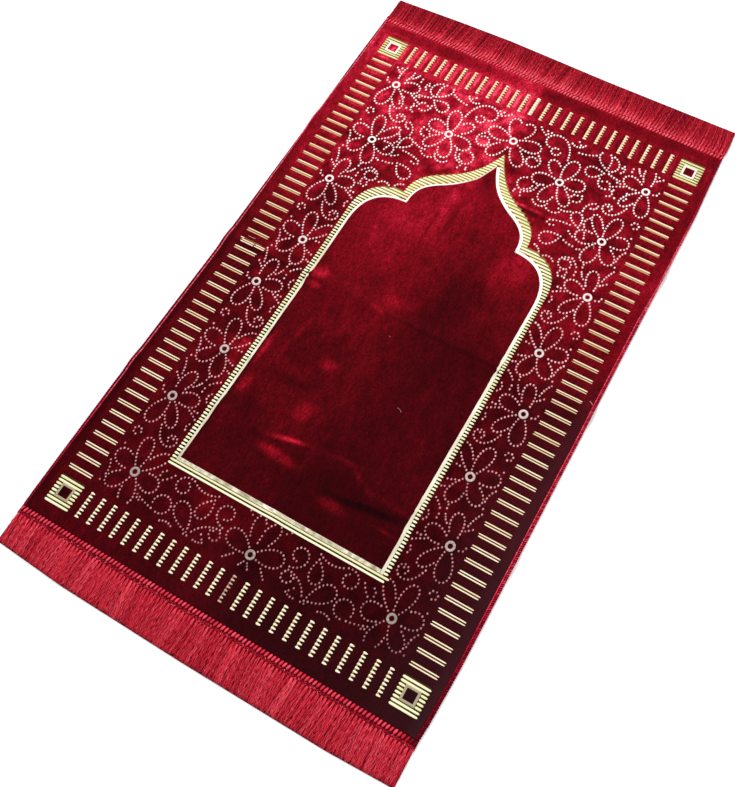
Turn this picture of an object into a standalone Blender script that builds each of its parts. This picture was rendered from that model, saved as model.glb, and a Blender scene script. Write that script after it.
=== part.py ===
"""A velvet prayer rug lying flat: one pile panel, two bound long edges and a fringe at each end.

Metres, +Z up. X runs across the rug and +Y along it, towards the point of its arch. The floor is
z = 0, and the origin is the middle of the rug's outline on the floor.
"""

import math

import bmesh
import bpy
import numpy as np

# The cloth's outline. The long sides aren't quite straight: each row is a place along the rug with
# the outer edge of the left and of the right binding there.
SIDE_EDGES = (
    # along,   left,    right
    (-0.5770, -0.3405, 0.3375),
    (-0.5150, -0.3425, 0.3425),
    (-0.3150, -0.3435, 0.3460),
    (0.1850, -0.3430, 0.3465),
    (0.3850, -0.3455, 0.3465),
    (0.5770, -0.3465, 0.3415),
)
CLOTH_END_NEAR = -0.5615
CLOTH_END_FAR = 0.5625
GAP = 0.0003

# The pile cloth.
CLOTH_THICKNESS = 0.0035
FOLD_STEPS = 4
PLAIN_STEPS = 3

# Creases where the rug was stored folded in four across and in half along. A crease lifts the cloth
# off the floor on a smooth hump, higher in some places than in others.
CROSS_FOLDS = (
    # along,  lift,   reach, wavelength of its unevenness, where that wave starts
    (-0.2800, 0.0028, 0.030, 0.31, 0.10),
    (-0.0060, 0.0036, 0.026, 0.47, 0.05),
    (0.2870, 0.0032, 0.034, 0.38, 0.21),
)
LENGTH_FOLD = (0.0000, 0.0030, 0.024, 0.52, 0.16)
FOLD_UNEVENNESS = 0.35
LENGTH_FOLD_FADE = 0.070

# Overlock thread over the two long edges.
BINDING_WIDTH = 0.0082
BINDING_HEIGHT = 0.0042

# The fringe's heading: a strip of fat slanting stitches beside the cloth.
HEADING_WIDTH = 0.0148
HEADING_LOW = 0.0018
STITCH_PITCH = 0.0061
STITCH_START = 0.0014
STITCH_LENGTH = 0.0078
STITCH_SLANT = 0.0026
STITCH_VALLEY = 0.0022
STITCH_CREST = 0.0034

# The fringe's locks, in the heading's end wall side by side. The tips' rows say where they end.
LOCKS = 128
LOCK_STEPS = 3
LOCK_ROOT_WIDTH = 0.0038
LOCK_TIP_WIDTH = 0.0026
LOCK_TIP_HEIGHT = 0.0012
LOCK_SHORTFALL = 0.0015
SWAY = 0.0040
SWAY_WAVE = 0.210
NEAR_PULL_IN = 0.0040
NEAR_TIPS = (
    # across,   end
    (-0.3350, -0.6260),
    (-0.2150, -0.6330),
    (-0.0050, -0.6355),
    (0.2350, -0.6350),
    (0.3300, -0.6310),
)
FAR_PULL_IN = 0.0012
FAR_TIPS = (
    (-0.3350, 0.6265),
    (-0.2150, 0.6325),
    (-0.1100, 0.6355),
    (0.0900, 0.6325),
    (0.3300, 0.6340),
)

VELVET_RED = (0.120, 0.003, 0.010)
BINDING_RED = (0.330, 0.010, 0.040)
FRINGE_RED = (0.420, 0.015, 0.050)


def clear_scene():
    for obj in list(bpy.data.objects):
        bpy.data.objects.remove(obj)


def cloth_material(name, colour, roughness):
    """A woven finish: a Principled surface of one colour with a soft sheen."""
    material = bpy.data.materials.new(name)
    material.use_nodes = True
    shader = material.node_tree.nodes["Principled BSDF"]
    shader.inputs["Base Color"].default_value = (*colour, 1.0)
    shader.inputs["Roughness"].default_value = roughness
    shader.inputs["Metallic"].default_value = 0.0
    shader.inputs["Sheen Weight"].default_value = 0.5
    return material


def side_edge(side, along):
    """X of the rug's outer edge at a place along it: side is -1 for the left, 1 for the right."""
    rows = np.array(SIDE_EDGES)
    return np.interp(along, rows[:, 0], rows[:, 1 if side < 0 else 2])


def hump(distance, reach):
    """1 at a crease's line, falling smoothly to 0 at its reach and flat beyond it."""
    share = np.clip(np.abs(distance) / reach, 0.0, 1.0)
    return (1.0 - share**2) ** 2


def uneven(place, wave, start):
    """A crease's own strength at a place along its line."""
    return 1.0 - FOLD_UNEVENNESS * (0.5 + 0.5 * np.cos(2 * math.pi * (place - start) / wave))


def cloth_lift(across, along):
    """Height of the cloth's underside over the floor."""
    lift = np.zeros(np.broadcast(across, along).shape)
    for line, height, reach, wave, start in CROSS_FOLDS:
        lift = np.maximum(lift, height * hump(along - line, reach) * uneven(across, wave, start))
    line, height, reach, wave, start = LENGTH_FOLD
    to_end = np.minimum(along - CLOTH_END_NEAR, CLOTH_END_FAR - along)
    fade = np.clip(to_end / LENGTH_FOLD_FADE, 0.0, 1.0)
    ridge = height * hump(across - line, reach) * uneven(along, wave, start) * fade
    return np.maximum(lift, ridge)


def stations(low, high, folds):
    """Grid lines from low to high: close together over each fold's hump, wide apart between them."""
    lines = [low, high]
    for line, reach in folds:
        lines.extend(np.linspace(line - reach, line + reach, 2 * FOLD_STEPS + 1))
    lines = np.unique(lines)
    wide = [
        np.linspace(a, b, PLAIN_STEPS + 1)[1:-1]
        for a, b in zip(lines[:-1], lines[1:])
        if b - a > (high - low) / 20
    ]
    return np.unique(np.concatenate([lines, *wide]))


def length_stations():
    """Places along the rug that the panel and both bindings share, so their sides stay parallel."""
    creases = [(line, reach) for line, _, reach, _, _ in CROSS_FOLDS]
    corners = [along for along, _, _ in SIDE_EDGES[1:-1]]
    return np.unique(np.concatenate([stations(CLOTH_END_NEAR, CLOTH_END_FAR, creases), corners]))


def finish_mesh(bm, name, material):
    """Turns a closed bmesh into a named object with its faces outward and its material on."""
    bmesh.ops.recalc_face_normals(bm, faces=bm.faces)
    mesh = bpy.data.meshes.new(name)
    bm.to_mesh(mesh)
    bm.free()
    mesh.materials.append(material)
    obj = bpy.data.objects.new(name, mesh)
    bpy.context.collection.objects.link(obj)
    return obj


def quad_rows(bm, rows):
    """Faces between neighbouring rows of vertices, all rows of one length."""
    faces = []
    for low, high in zip(rows[:-1], rows[1:]):
        for i in range(len(low) - 1):
            faces.append(bm.faces.new((low[i], low[i + 1], high[i + 1], high[i])))
    return faces


def velvet_panel(material):
    """The pile cloth: a creased sheet of even thickness, its underside on the floor between creases."""
    inset = BINDING_WIDTH + GAP
    widest = max(right for _, _, right in SIDE_EDGES)
    shares = stations(-1.0, 1.0, [(0.0, LENGTH_FOLD[2] / widest)])
    bm = bmesh.new()
    rows = []
    for y in length_stations():
        left = side_edge(-1, y) + inset
        right = side_edge(1, y) - inset
        xs = np.where(shares < 0, -shares * left, shares * right)
        rows.append([bm.verts.new((x, y, cloth_lift(x, y))) for x in xs])
    quad_rows(bm, rows)
    raised = bmesh.ops.extrude_face_region(bm, geom=list(bm.faces))
    top = [v for v in raised["geom"] if isinstance(v, bmesh.types.BMVert)]
    bmesh.ops.translate(bm, verts=top, vec=(0.0, 0.0, CLOTH_THICKNESS))
    return finish_mesh(bm, "velvet_panel", material)


def binding(side, name, material):
    """Overlock thread along one long edge: a flat-bottomed six-sided bead that follows the cloth."""
    # Each corner is a share of the width outward from the cloth and a share of the height.
    profile = ((0.0, 0.0), (0.90, 0.0), (1.0, 0.35), (0.90, 0.85), (0.60, 1.0), (0.0, 0.85))
    bm = bmesh.new()
    rings = []
    for y in length_stations():
        outer = side_edge(side, y)
        lift = float(cloth_lift(outer, y))
        ring = []
        for out, up in profile:
            x = outer - side * BINDING_WIDTH * (1.0 - out)
            ring.append(bm.verts.new((x, y, lift + up * BINDING_HEIGHT)))
        rings.append(ring)
    quad_rows(bm, [ring + ring[:1] for ring in rings])
    bm.faces.new(rings[0])
    bm.faces.new(rings[-1])
    return finish_mesh(bm, name, material)


def heading_rows(row, left, right, slant):
    """The heading's top, row by row outward from the cloth: each stitch has a valley and a crest."""
    count = int((right - left) / STITCH_PITCH)
    columns = np.linspace(left, right, 2 * count + 1)
    slanted = columns + slant
    slanted[[0, -1]] = left, right
    crest = np.arange(len(columns)) % 2 == 1
    heights = np.where(crest, STITCH_CREST, STITCH_VALLEY)
    stitch_end = STITCH_START + STITCH_LENGTH
    return [
        row(columns, 0.0, HEADING_LOW),
        row(columns, STITCH_START, heights),
        row(slanted, stitch_end, heights),
        row(slanted, stitch_end + STITCH_START, HEADING_LOW),
    ]


def fringe(name, end, cloth_end, pull_in, tips, material):
    """One end's trim, with end -1 for the near one and 1 for the far one.

    The heading strip is built row by row outward from the cloth. Its end wall is split into lock
    roots and the gaps between them, and each root is extruded flat along the floor to its tip.
    """
    start = cloth_end + end * GAP
    left = side_edge(-1, start)
    right = side_edge(1, start)
    bm = bmesh.new()

    def row(xs, out, heights):
        """A row of vertices a distance out from the cloth."""
        heights = np.broadcast_to(heights, len(xs))
        return [bm.verts.new((x, start + end * out, z)) for x, z in zip(xs, heights)]

    top = heading_rows(row, left, right, end * STITCH_SLANT)
    middles = left + (np.arange(LOCKS) + 0.5) * (right - left) / LOCKS
    sides = (middles[:, None] + np.array([-0.5, 0.5]) * LOCK_ROOT_WIDTH).ravel()
    wall_lines = np.concatenate([[left], sides, [right]])
    wall_top = row(wall_lines, HEADING_WIDTH, HEADING_LOW)
    wall_foot = row(wall_lines, HEADING_WIDTH, 0.0)
    foot = row(np.array([left, right]), 0.0, 0.0)

    quad_rows(bm, top)
    bm.faces.new(top[-1] + wall_top[::-1])
    bm.faces.new(top[0] + foot[::-1])
    bm.faces.new(foot + wall_foot[::-1])
    for i, corner in zip((0, -1), foot):
        bm.faces.new([corner] + [line[i] for line in top] + [wall_top[i], wall_foot[i]])
    roots = quad_rows(bm, [wall_foot, wall_top])[1::2]

    rng = np.random.default_rng(LOCKS + end)
    table = np.array(tips)
    tip_ends = np.interp(middles, table[:, 0], table[:, 1])
    shortfall = rng.uniform(0.0, LOCK_SHORTFALL, LOCKS)
    shortfall[np.argmax(np.abs(tip_ends))] = 0.0
    tip_ends -= end * shortfall
    sway = SWAY * np.sin(2 * math.pi * middles / SWAY_WAVE + end) - pull_in * middles / right
    for face, middle, tip_end, aside in zip(roots, middles, tip_ends, sway):
        grow_lock(bm, face, middle, start + end * HEADING_WIDTH, tip_end, aside)
    return finish_mesh(bm, name, material)


def grow_lock(bm, face, middle, root, tip, aside):
    """Extrudes one lock from its root: it narrows, thins and sways aside, its underside on the floor."""
    for step in range(1, LOCK_STEPS + 1):
        share = step / LOCK_STEPS
        face = bmesh.ops.extrude_discrete_faces(bm, faces=[face])["faces"][0]
        centre = face.calc_center_median()
        half = (LOCK_ROOT_WIDTH + (LOCK_TIP_WIDTH - LOCK_ROOT_WIDTH) * share) / 2
        height = HEADING_LOW + (LOCK_TIP_HEIGHT - HEADING_LOW) * share
        for v in face.verts:
            v.co = (
                middle + aside * share**1.5 + math.copysign(half, v.co.x - centre.x),
                root + (tip - root) * share,
                height if v.co.z > centre.z else 0.0,
            )


def build():
    clear_scene()
    velvet = cloth_material("velvet", VELVET_RED, 0.85)
    overlock = cloth_material("overlock", BINDING_RED, 0.7)
    fringe_yarn = cloth_material("fringe_yarn", FRINGE_RED, 0.6)
    velvet_panel(velvet)
    binding(-1, "binding_left", overlock)
    binding(1, "binding_right", overlock)
    fringe("fringe_near", -1, CLOTH_END_NEAR, NEAR_PULL_IN, NEAR_TIPS, fringe_yarn)
    fringe("fringe_far", 1, CLOTH_END_FAR, FAR_PULL_IN, FAR_TIPS, fringe_yarn)


build()
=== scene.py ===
"""Looks of a velvet prayer rug that lies flat: crushed pile, gold and silver weave, bound edges, fringe.

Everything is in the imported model's frame: metres, X across the rug, Y along it towards the point of
the arch, the floor at z = 0. The woven pattern is charted in millimetres, across from the rug's
middle line and along from the middle of its near corner squares.
"""
import math

import bpy
import numpy as np
from mathutils import Matrix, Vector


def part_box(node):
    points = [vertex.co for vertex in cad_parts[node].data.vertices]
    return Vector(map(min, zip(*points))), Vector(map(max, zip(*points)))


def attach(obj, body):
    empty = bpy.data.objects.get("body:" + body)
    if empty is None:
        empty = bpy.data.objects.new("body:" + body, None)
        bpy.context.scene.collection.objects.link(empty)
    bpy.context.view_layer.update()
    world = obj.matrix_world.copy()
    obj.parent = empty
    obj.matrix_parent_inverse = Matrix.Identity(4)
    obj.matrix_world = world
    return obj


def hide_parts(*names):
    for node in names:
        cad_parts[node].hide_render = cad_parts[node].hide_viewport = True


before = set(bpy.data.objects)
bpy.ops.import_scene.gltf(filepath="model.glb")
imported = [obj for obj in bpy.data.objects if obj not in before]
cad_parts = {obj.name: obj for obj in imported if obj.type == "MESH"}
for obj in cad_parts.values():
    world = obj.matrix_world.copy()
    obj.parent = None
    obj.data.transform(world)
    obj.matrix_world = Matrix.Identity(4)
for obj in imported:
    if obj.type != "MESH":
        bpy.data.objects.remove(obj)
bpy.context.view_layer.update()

MM = 0.001

# ---------------------------------------------------------------- the cloth, as it lies on the floor

PANEL_LOW, PANEL_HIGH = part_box("velvet_panel")
CLOTH_NEAR = PANEL_LOW.y
CLOTH_FAR = PANEL_HIGH.y
CLOTH_THICKNESS = 0.0035
SIDE_EDGES = (
    # along,   left,    right
    (-0.5770, -0.3420, 0.3380),
    (-0.5355, -0.3433, 0.3416),
    (-0.4555, -0.3440, 0.3445),
    (-0.3355, -0.3449, 0.3452),
    (-0.2155, -0.3442, 0.3456),
    (-0.0555, -0.3430, 0.3458),
    (0.1045, -0.3441, 0.3455),
    (0.2645, -0.3450, 0.3464),
    (0.3445, -0.3461, 0.3466),
    (0.4245, -0.3476, 0.3467),
    (0.5045, -0.3481, 0.3438),
    (0.5770, -0.3480, 0.3418),
)
CROSS_FOLDS = (
    # along,  lift,   reach, wavelength of its unevenness, where that wave starts
    (-0.2800, 0.0028, 0.030, 0.31, 0.10),
    (-0.0060, 0.0036, 0.026, 0.47, 0.05),
    (0.2870, 0.0032, 0.034, 0.38, 0.21),
)
LENGTH_FOLD = (0.0000, 0.0030, 0.024, 0.52, 0.16)
FOLD_UNEVENNESS = 0.35
LENGTH_FOLD_FADE = 0.070
BINDING_HEIGHT = 0.0042
GAP = 0.0003
PATTERN_NEAR = -0.5155

# The overlock thread's bead line along both edges: how far in from the edge it stands. The pile
# covers more of the edge where that is turned under.
BEAD_LINE = (
    # along, left, right
    (-40.0, 3.4, 5.0),
    (60.0, 4.0, 5.4),
    (140.0, 5.3, 6.2),
    (300.0, 5.6, 6.0),
    (460.0, 5.4, 5.1),
    (540.0, 5.5, 5.6),
    (620.0, 4.8, 5.1),
    (700.0, 3.4, 5.6),
    (780.0, 1.9, 2.6),
    (870.0, 1.9, 2.8),
    (940.0, 4.9, 3.0),
    (1060.0, 4.5, 4.0),
)
BEAD_TO_PILE = 0.0016

# How bright the thread looks at the near end, along the middle and at the far end of each edge. The
# stitches stand up and catch the light where the far fold crosses the edge.
EDGE_PLACES = (0.0, 200.0, 860.0, 1020.0)
BEAD_TONES = {-1: (0.50, 0.92, 0.97), 1: (0.35, 0.85, 0.45)}
STITCH_TONES = {-1: (0.25, 0.30, 0.48), 1: (0.25, 0.65, 0.45)}
FOLD_GLEAM = 0.30
FOLD_GLEAM_AT = 815.0
FOLD_GLEAM_REACH = 150.0

# The cloth has stretched and drawn in, so the weave has drifted from its chart: in millimetres to the
# right at five lines across, and towards the far end at the left and right borders.
DRIFT_LINES = (-300.0, -200.0, 0.0, 200.0, 300.0)
WEAVE_DRIFT = (
    # along, right by: border, left, middle, right, border; far by: left, right
    (-20.0, 1.4, -0.2, 0.0, 0.9, 0.6, 0.0, 0.0),
    (40.0, 1.2, 0.0, 0.0, 0.9, 0.4, -0.4, -1.2),
    (100.0, 1.1, 0.0, 0.0, 0.8, 0.0, 0.2, 0.0),
    (190.0, 1.7, 1.0, 0.0, 0.8, 0.0, 0.5, 1.2),
    (203.0, 2.0, 1.5, 0.0, -0.6, 0.0, 0.5, 1.2),
    (325.0, 2.7, 2.9, 0.0, -0.1, 0.3, 0.5, 1.3),
    (460.0, 3.9, 3.4, 0.0, 0.8, 0.2, 0.2, 1.3),
    (503.0, 4.2, 3.5, 0.0, 0.7, 0.0, -1.2, 1.1),
    (525.0, 3.9, 3.5, 0.0, 0.5, 0.0, -1.8, -0.5),
    (570.0, 3.3, 3.5, 0.0, 0.3, 0.0, -1.4, -0.6),
    (700.0, 2.0, 2.0, 0.5, 0.6, 0.2, -1.2, -0.4),
    (790.0, 1.5, 1.2, -0.1, 0.9, 0.4, -1.7, -0.6),
    (815.0, 1.4, 1.0, -0.3, 1.0, 0.4, -1.4, -0.6),
    (950.0, 0.8, 0.7, 0.5, 1.5, 0.8, -0.2, 0.0),
    (1030.0, 0.9, 0.5, 0.2, 1.2, 1.0, 0.0, 0.0),
)


def chart_along(y):
    """Millimetres along the pattern's chart at a place along the rug in metres, before any drift."""
    return (y - PATTERN_NEAR) / MM


def edge_value(table, side, along):
    """A table's value at a place along an edge: side is -1 for the left, 1 for the right."""
    rows = np.array(table)
    return np.interp(along, rows[:, 0], rows[:, 1 if side < 0 else 2])


def side_edge(side, along):
    """X of the rug's outer edge at a place along it."""
    return edge_value(SIDE_EDGES, side, along)


def bead_line(side, along):
    """How far in from an edge its bead line stands, in metres, at a place along it."""
    return edge_value(BEAD_LINE, side, chart_along(along)) * MM


def edge_tone(tones, along):
    """An edge thread's tone at a place along it, from its near, middle and far tones."""
    near, middle, far = tones
    return np.interp(chart_along(along), EDGE_PLACES, (near, middle, middle, far))


def hump(distance, reach):
    """1 on a line, falling smoothly to 0 at a reach from it: (1 - d^2)^2 of the share of the reach."""
    share = np.clip(np.abs(distance) / reach, 0.0, 1.0)
    return (1.0 - share**2) ** 2


def rise(value, middle, reach):
    """From 0 to 1 round a middle: one over 1 + e to the minus distance past it, counted in reaches."""
    return 1.0 / (1.0 + np.exp(-(value - middle) / reach))


def part_turn(turns):
    """What is left of a number of turns when the whole ones are taken off."""
    return turns - np.floor(turns)


def uneven(place, wave, start):
    """How high a fold stands along its line: 1 at most, and less by a cosine of its wavelength."""
    return 1.0 - FOLD_UNEVENNESS * (0.5 + 0.5 * np.cos(2 * math.pi * (place - start) / wave))


def cloth_lift(x, y):
    """Height of the cloth's underside over the floor: the highest of its fold creases' humps."""
    lift = np.zeros(np.broadcast(x, y).shape)
    for line, height, reach, wave, start in CROSS_FOLDS:
        lift = np.maximum(lift, height * hump(y - line, reach) * uneven(x, wave, start))
    line, height, reach, wave, start = LENGTH_FOLD
    fade = np.clip(np.minimum(y - CLOTH_NEAR, CLOTH_FAR - y) / LENGTH_FOLD_FADE, 0.0, 1.0)
    return np.maximum(lift, height * hump(x - line, reach) * uneven(y, wave, start) * fade)


def drift(x, y, cell, seed):
    """Smooth unevenness from -1 to 1: random values on a net of square cells, blended smoothly."""
    rng = np.random.default_rng(seed)
    net = rng.uniform(-1.0, 1.0, (256, 256))
    u = np.asarray(x) / cell + 100.0
    v = np.asarray(y) / cell + 100.0
    i = np.floor(u).astype(int) % 255
    j = np.floor(v).astype(int) % 255
    a = u - np.floor(u)
    b = v - np.floor(v)
    a = a * a * (3.0 - 2.0 * a)
    b = b * b * (3.0 - 2.0 * b)
    low = net[i, j] * (1.0 - a) + net[i + 1, j] * a
    high = net[i, j + 1] * (1.0 - a) + net[i + 1, j + 1] * a
    return low * (1.0 - b) + high * b


def pile_top(x, y):
    """Height of the pile's surface: the cloth's lift and thickness, and a slow unevenness."""
    wave = 0.00035 * drift(x, y, 0.045, 1) + 0.00015 * drift(x, y, 0.016, 2)
    return cloth_lift(x, y) + CLOTH_THICKNESS + wave


def weave_drift(across, along):
    """How far the cloth has carried a place of the chart to the right and towards the far end."""
    rows = np.array(WEAVE_DRIFT)
    right = sum(
        np.interp(across, DRIFT_LINES, line) * np.interp(along, rows[:, 0], rows[:, 1 + k])
        for k, line in enumerate(np.eye(len(DRIFT_LINES)))
    )
    on_right = np.clip(0.5 + across / 600.0, 0.0, 1.0)
    far = np.interp(along, rows[:, 0], rows[:, 6]) * (1 - on_right)
    return right, far + np.interp(along, rows[:, 0], rows[:, 7]) * on_right


def chart_to_rug(across_mm, along_mm):
    """A place on the pattern's chart, in metres in the rug's frame, with the weave's drift."""
    across, along = np.broadcast_arrays(np.asarray(across_mm, float), np.asarray(along_mm, float))
    right, far = weave_drift(across, along)
    return (across + right) * MM, (along + far) * MM + PATTERN_NEAR


# ---------------------------------------------------------------- meshes from arrays


def grid_faces(rows, columns, wrap=False):
    """Quads over a grid of points numbered row by row. wrap joins the last column to the first."""
    i = np.arange(rows - 1)[:, None]
    j = np.arange(columns if wrap else columns - 1)[None, :]
    k = (j + 1) % columns
    quads = np.stack([i * columns + j, i * columns + k, (i + 1) * columns + k, (i + 1) * columns + j], -1)
    return quads.reshape(-1, 4)


def new_piece(name, points, faces, material, slot, tone=None, stands_for=None, smooth=True):
    """A mesh object at the origin from an array of points and lists of faces, riding on the rug."""
    mesh = bpy.data.meshes.new(name)
    mesh.from_pydata(np.asarray(points).reshape(-1, 3).tolist(), [], [list(map(int, f)) for f in faces])
    mesh.update()
    mesh.polygons.foreach_set("use_smooth", [smooth] * len(mesh.polygons))
    if tone is not None:
        layer = mesh.attributes.new("tone", "FLOAT", "POINT")
        layer.data.foreach_set("value", np.ascontiguousarray(tone, np.float32).ravel())
    mesh.materials.append(material)
    obj = bpy.data.objects.new(name, mesh)
    bpy.context.scene.collection.objects.link(obj)
    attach(obj, "root")
    if stands_for:
        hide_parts(stands_for)
    return obj


def tubes(sections):
    """Closed tubes from an array (tube, station, corner, xyz): its points, and faces with end caps.

    Faces look outward where the corners run clockwise, seen along the tube from its first station.
    """
    count, stations, corners, _ = sections.shape
    side = grid_faces(stations, corners, wrap=True)
    start = np.arange(count)[:, None, None] * stations * corners
    sides = (start + side[None]).reshape(-1, 4)
    ring = np.arange(corners)
    first = start[:, 0] + ring[::-1][None]
    last = start[:, 0] + (stations - 1) * corners + ring[None]
    return sections.reshape(-1, 3), [*sides, *first, *last]


def spread(values, sections):
    """One value for each tube, at all of its points."""
    return np.broadcast_to(np.asarray(values, float).reshape(-1, 1, 1), sections.shape[:3])


def round_corners(count):
    """Angles of a round section's corners, evenly about it."""
    return np.linspace(0.0, 2 * math.pi, count + 1)[:-1]


def upright_ovals(x, y, z, wide, tall, corner):
    """Sections across the rug about stations: x + wide cos and z + tall sin of each corner's angle."""
    x, y, z, wide, tall = np.broadcast_arrays(x, y, z, wide, tall)
    xs = x[..., None] + wide[..., None] * np.cos(corner)
    zs = z[..., None] + tall[..., None] * np.sin(corner)
    return np.stack([xs, np.broadcast_to(y[..., None], xs.shape), zs], -1)


# A thread lying on the pile: its section, as shares of half its width and of its height.
THREAD_SECTION = np.array(
    [(-1.0, -0.6), (-0.92, 0.1), (-0.6, 0.72), (0.0, 1.0), (0.6, 0.72), (0.92, 0.1), (1.0, -0.6)]
)


def weft_bars(low, high, along, width, crown, steps, sink=0.0002, flare=0.0, slants=(0.0, 0.0)):
    """Threads that run across the rug, one for each row of low, high and along, in chart millimetres.

    A bar is the thread section carried from low to high. Its width and height follow
    (1 - |2s - 1|^p)^(1/2) of the share s of its length, with p 5 or half its millimetres, so its ends
    are round for about as far as it is wide. It lies on the pile. A flare makes it 1 + flare (1 - 2s)
    as wide: broad at its left end. The slants are how far each end steps right for a step along.
    """
    low, high, along, width = np.broadcast_arrays(*map(np.asarray, (low, high, along, width)))
    share = 0.5 - 0.5 * np.cos(math.pi * np.linspace(0.0, 1.0, steps + 1))
    power = np.maximum(5.0, 0.5 * (high - low))[:, None]
    fat = np.sqrt(np.clip(1.0 - np.abs(2 * share - 1) ** power, 0.0, 1.0))
    fat[:, [0, -1]] = 0.45
    across = low[:, None] + (high - low)[:, None] * share
    x, y = chart_to_rug(across, np.broadcast_to(along[:, None], across.shape))
    half = 0.5 * width[:, None] * MM * fat * (1.0 + flare * (1.0 - 2.0 * share))
    ys = y[..., None] + half[..., None] * THREAD_SECTION[:, 0]
    first, last = (np.broadcast_to(slant, low.shape)[:, None] for slant in slants)
    xs = x[..., None] + (first * (1.0 - share) + last * share)[..., None] * (ys - y[..., None])
    zs = pile_top(xs, ys) - sink + crown * fat[..., None] * THREAD_SECTION[:, 1]
    return np.stack([xs, ys, zs], -1)[:, :, ::-1]


# ---------------------------------------------------------------- materials


def srgb(red, green, blue):
    """A linear colour from a screen colour's three numbers out of 255."""
    def linear(c):
        c = c / 255.0
        return c / 12.92 if c <= 0.04045 else ((c + 0.055) / 1.055) ** 2.4
    return tuple(linear(c) for c in (red, green, blue))


def new_material(name):
    material = bpy.data.materials.new(name)
    material.use_nodes = True
    nodes = material.node_tree.nodes
    return material, nodes, material.node_tree.links, nodes["Principled BSDF"]


def add_node(nodes, kind, **values):
    """A shader node with its settings and constant inputs set by name."""
    node = nodes.new(kind)
    for key, value in values.items():
        if key in node.inputs:
            node.inputs[key].default_value = value
        else:
            setattr(node, key, value)
    return node


def maths(nodes, links, operation, a, b):
    node = add_node(nodes, "ShaderNodeMath", operation=operation)
    for socket, value in zip(node.inputs, (a, b)):
        if isinstance(value, (int, float)):
            socket.default_value = value
        else:
            links.new(value, socket)
    return node.outputs["Value"]


def noise(nodes, links, scale, detail=2.0, stretch=(1.0, 1.0, 1.0)):
    """Noise from -0.5 to 0.5 over the object's own coordinates, stretched by a scale."""
    place = nodes.new("ShaderNodeTexCoord")
    mapping = nodes.new("ShaderNodeMapping")
    mapping.inputs["Scale"].default_value = stretch
    links.new(place.outputs["Object"], mapping.inputs["Vector"])
    texture = add_node(nodes, "ShaderNodeTexNoise", Scale=scale, Detail=detail)
    links.new(mapping.outputs["Vector"], texture.inputs["Vector"])
    return maths(nodes, links, "SUBTRACT", texture.outputs["Fac"], 0.5)


def blend(nodes, links, start, *parts):
    """A start value plus each part's output times its weight."""
    total = start
    for output, weight in parts:
        total = maths(nodes, links, "ADD", total, maths(nodes, links, "MULTIPLY", output, weight))
    return total


def ramp(nodes, links, value, stops):
    """A colour ramp fed by a value, with (place, linear colour) stops."""
    node = nodes.new("ShaderNodeValToRGB")
    elements = node.color_ramp.elements
    while len(elements) < len(stops):
        elements.new(0.5)
    for element, (place, colour) in zip(elements, stops):
        element.position = place
        element.color = (*colour, 1.0)
    links.new(value, node.inputs["Fac"])
    return node.outputs["Color"]


def screen_ramp(nodes, links, value, stops):
    """A colour ramp whose stops are a place and a screen colour's three numbers."""
    return ramp(nodes, links, value, [(place, srgb(*colour)) for place, *colour in stops])


def bump(nodes, links, shader, height, distance, strength=1.0):
    node = add_node(nodes, "ShaderNodeBump", Strength=strength, Distance=distance)
    links.new(height, node.inputs["Height"])
    links.new(node.outputs["Normal"], shader.inputs["Normal"])


def own_tone(nodes):
    return add_node(nodes, "ShaderNodeAttribute", attribute_name="tone").outputs["Fac"]


# The finishes, each from its darkest to its brightest: a place on the ramp and a screen colour.
PILE_STOPS = (
    (0.10, 26, 3, 5),
    (0.24, 61, 4, 9),
    (0.31, 79, 5, 12),
    (0.45, 115, 8, 20),
    (0.60, 153, 15, 36),
    (0.78, 200, 37, 61),
    (1.00, 250, 88, 114),
)
DASH_STOPS = (
    (0.00, 84, 54, 34),
    (0.30, 150, 108, 66),
    (0.60, 202, 164, 110),
    (0.80, 232, 204, 158),
    (1.00, 252, 236, 206),
)
BAND_STOPS = (
    (0.00, 56, 50, 12),
    (0.30, 138, 128, 58),
    (0.60, 198, 190, 118),
    (0.80, 224, 218, 160),
    (1.00, 250, 246, 216),
)
# The bare ground's colours, dark with painted shade between the floats.
GROUND_STOPS = (
    (0.00, 20, 14, 4),
    (0.50, 62, 52, 16),
    (1.00, 144, 124, 60),
)
PEACH_STOPS = (
    (0.00, 44, 22, 10),
    (0.50, 116, 84, 46),
    (1.00, 206, 166, 116),
)
SILVER_STOPS = (
    (0.00, 100, 58, 60),
    (0.35, 182, 120, 124),
    (0.65, 230, 160, 162),
    (1.00, 255, 238, 236),
)
RING_STOPS = (
    (0.00, 70, 56, 54),
    (0.50, 146, 130, 122),
    (1.00, 244, 228, 226),
)
WORN_STOPS = (
    (0.00, 70, 14, 18),
    (0.50, 158, 98, 82),
    (1.00, 218, 176, 154),
)
PALE_STOPS = (
    (0.00, 82, 70, 48),
    (0.35, 150, 136, 106),
    (0.65, 204, 196, 166),
    (1.00, 254, 248, 238),
)
FRINGE_STOPS = (
    (0.00, 44, 4, 12),
    (0.25, 134, 16, 32),
    (0.50, 202, 36, 54),
    (0.75, 236, 66, 86),
    (1.00, 250, 124, 140),
)
BINDING_STOPS = (
    (0.00, 44, 1, 8),
    (0.35, 118, 8, 28),
    (0.65, 190, 26, 54),
    (0.85, 226, 66, 86),
    (1.00, 250, 120, 138),
)


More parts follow.
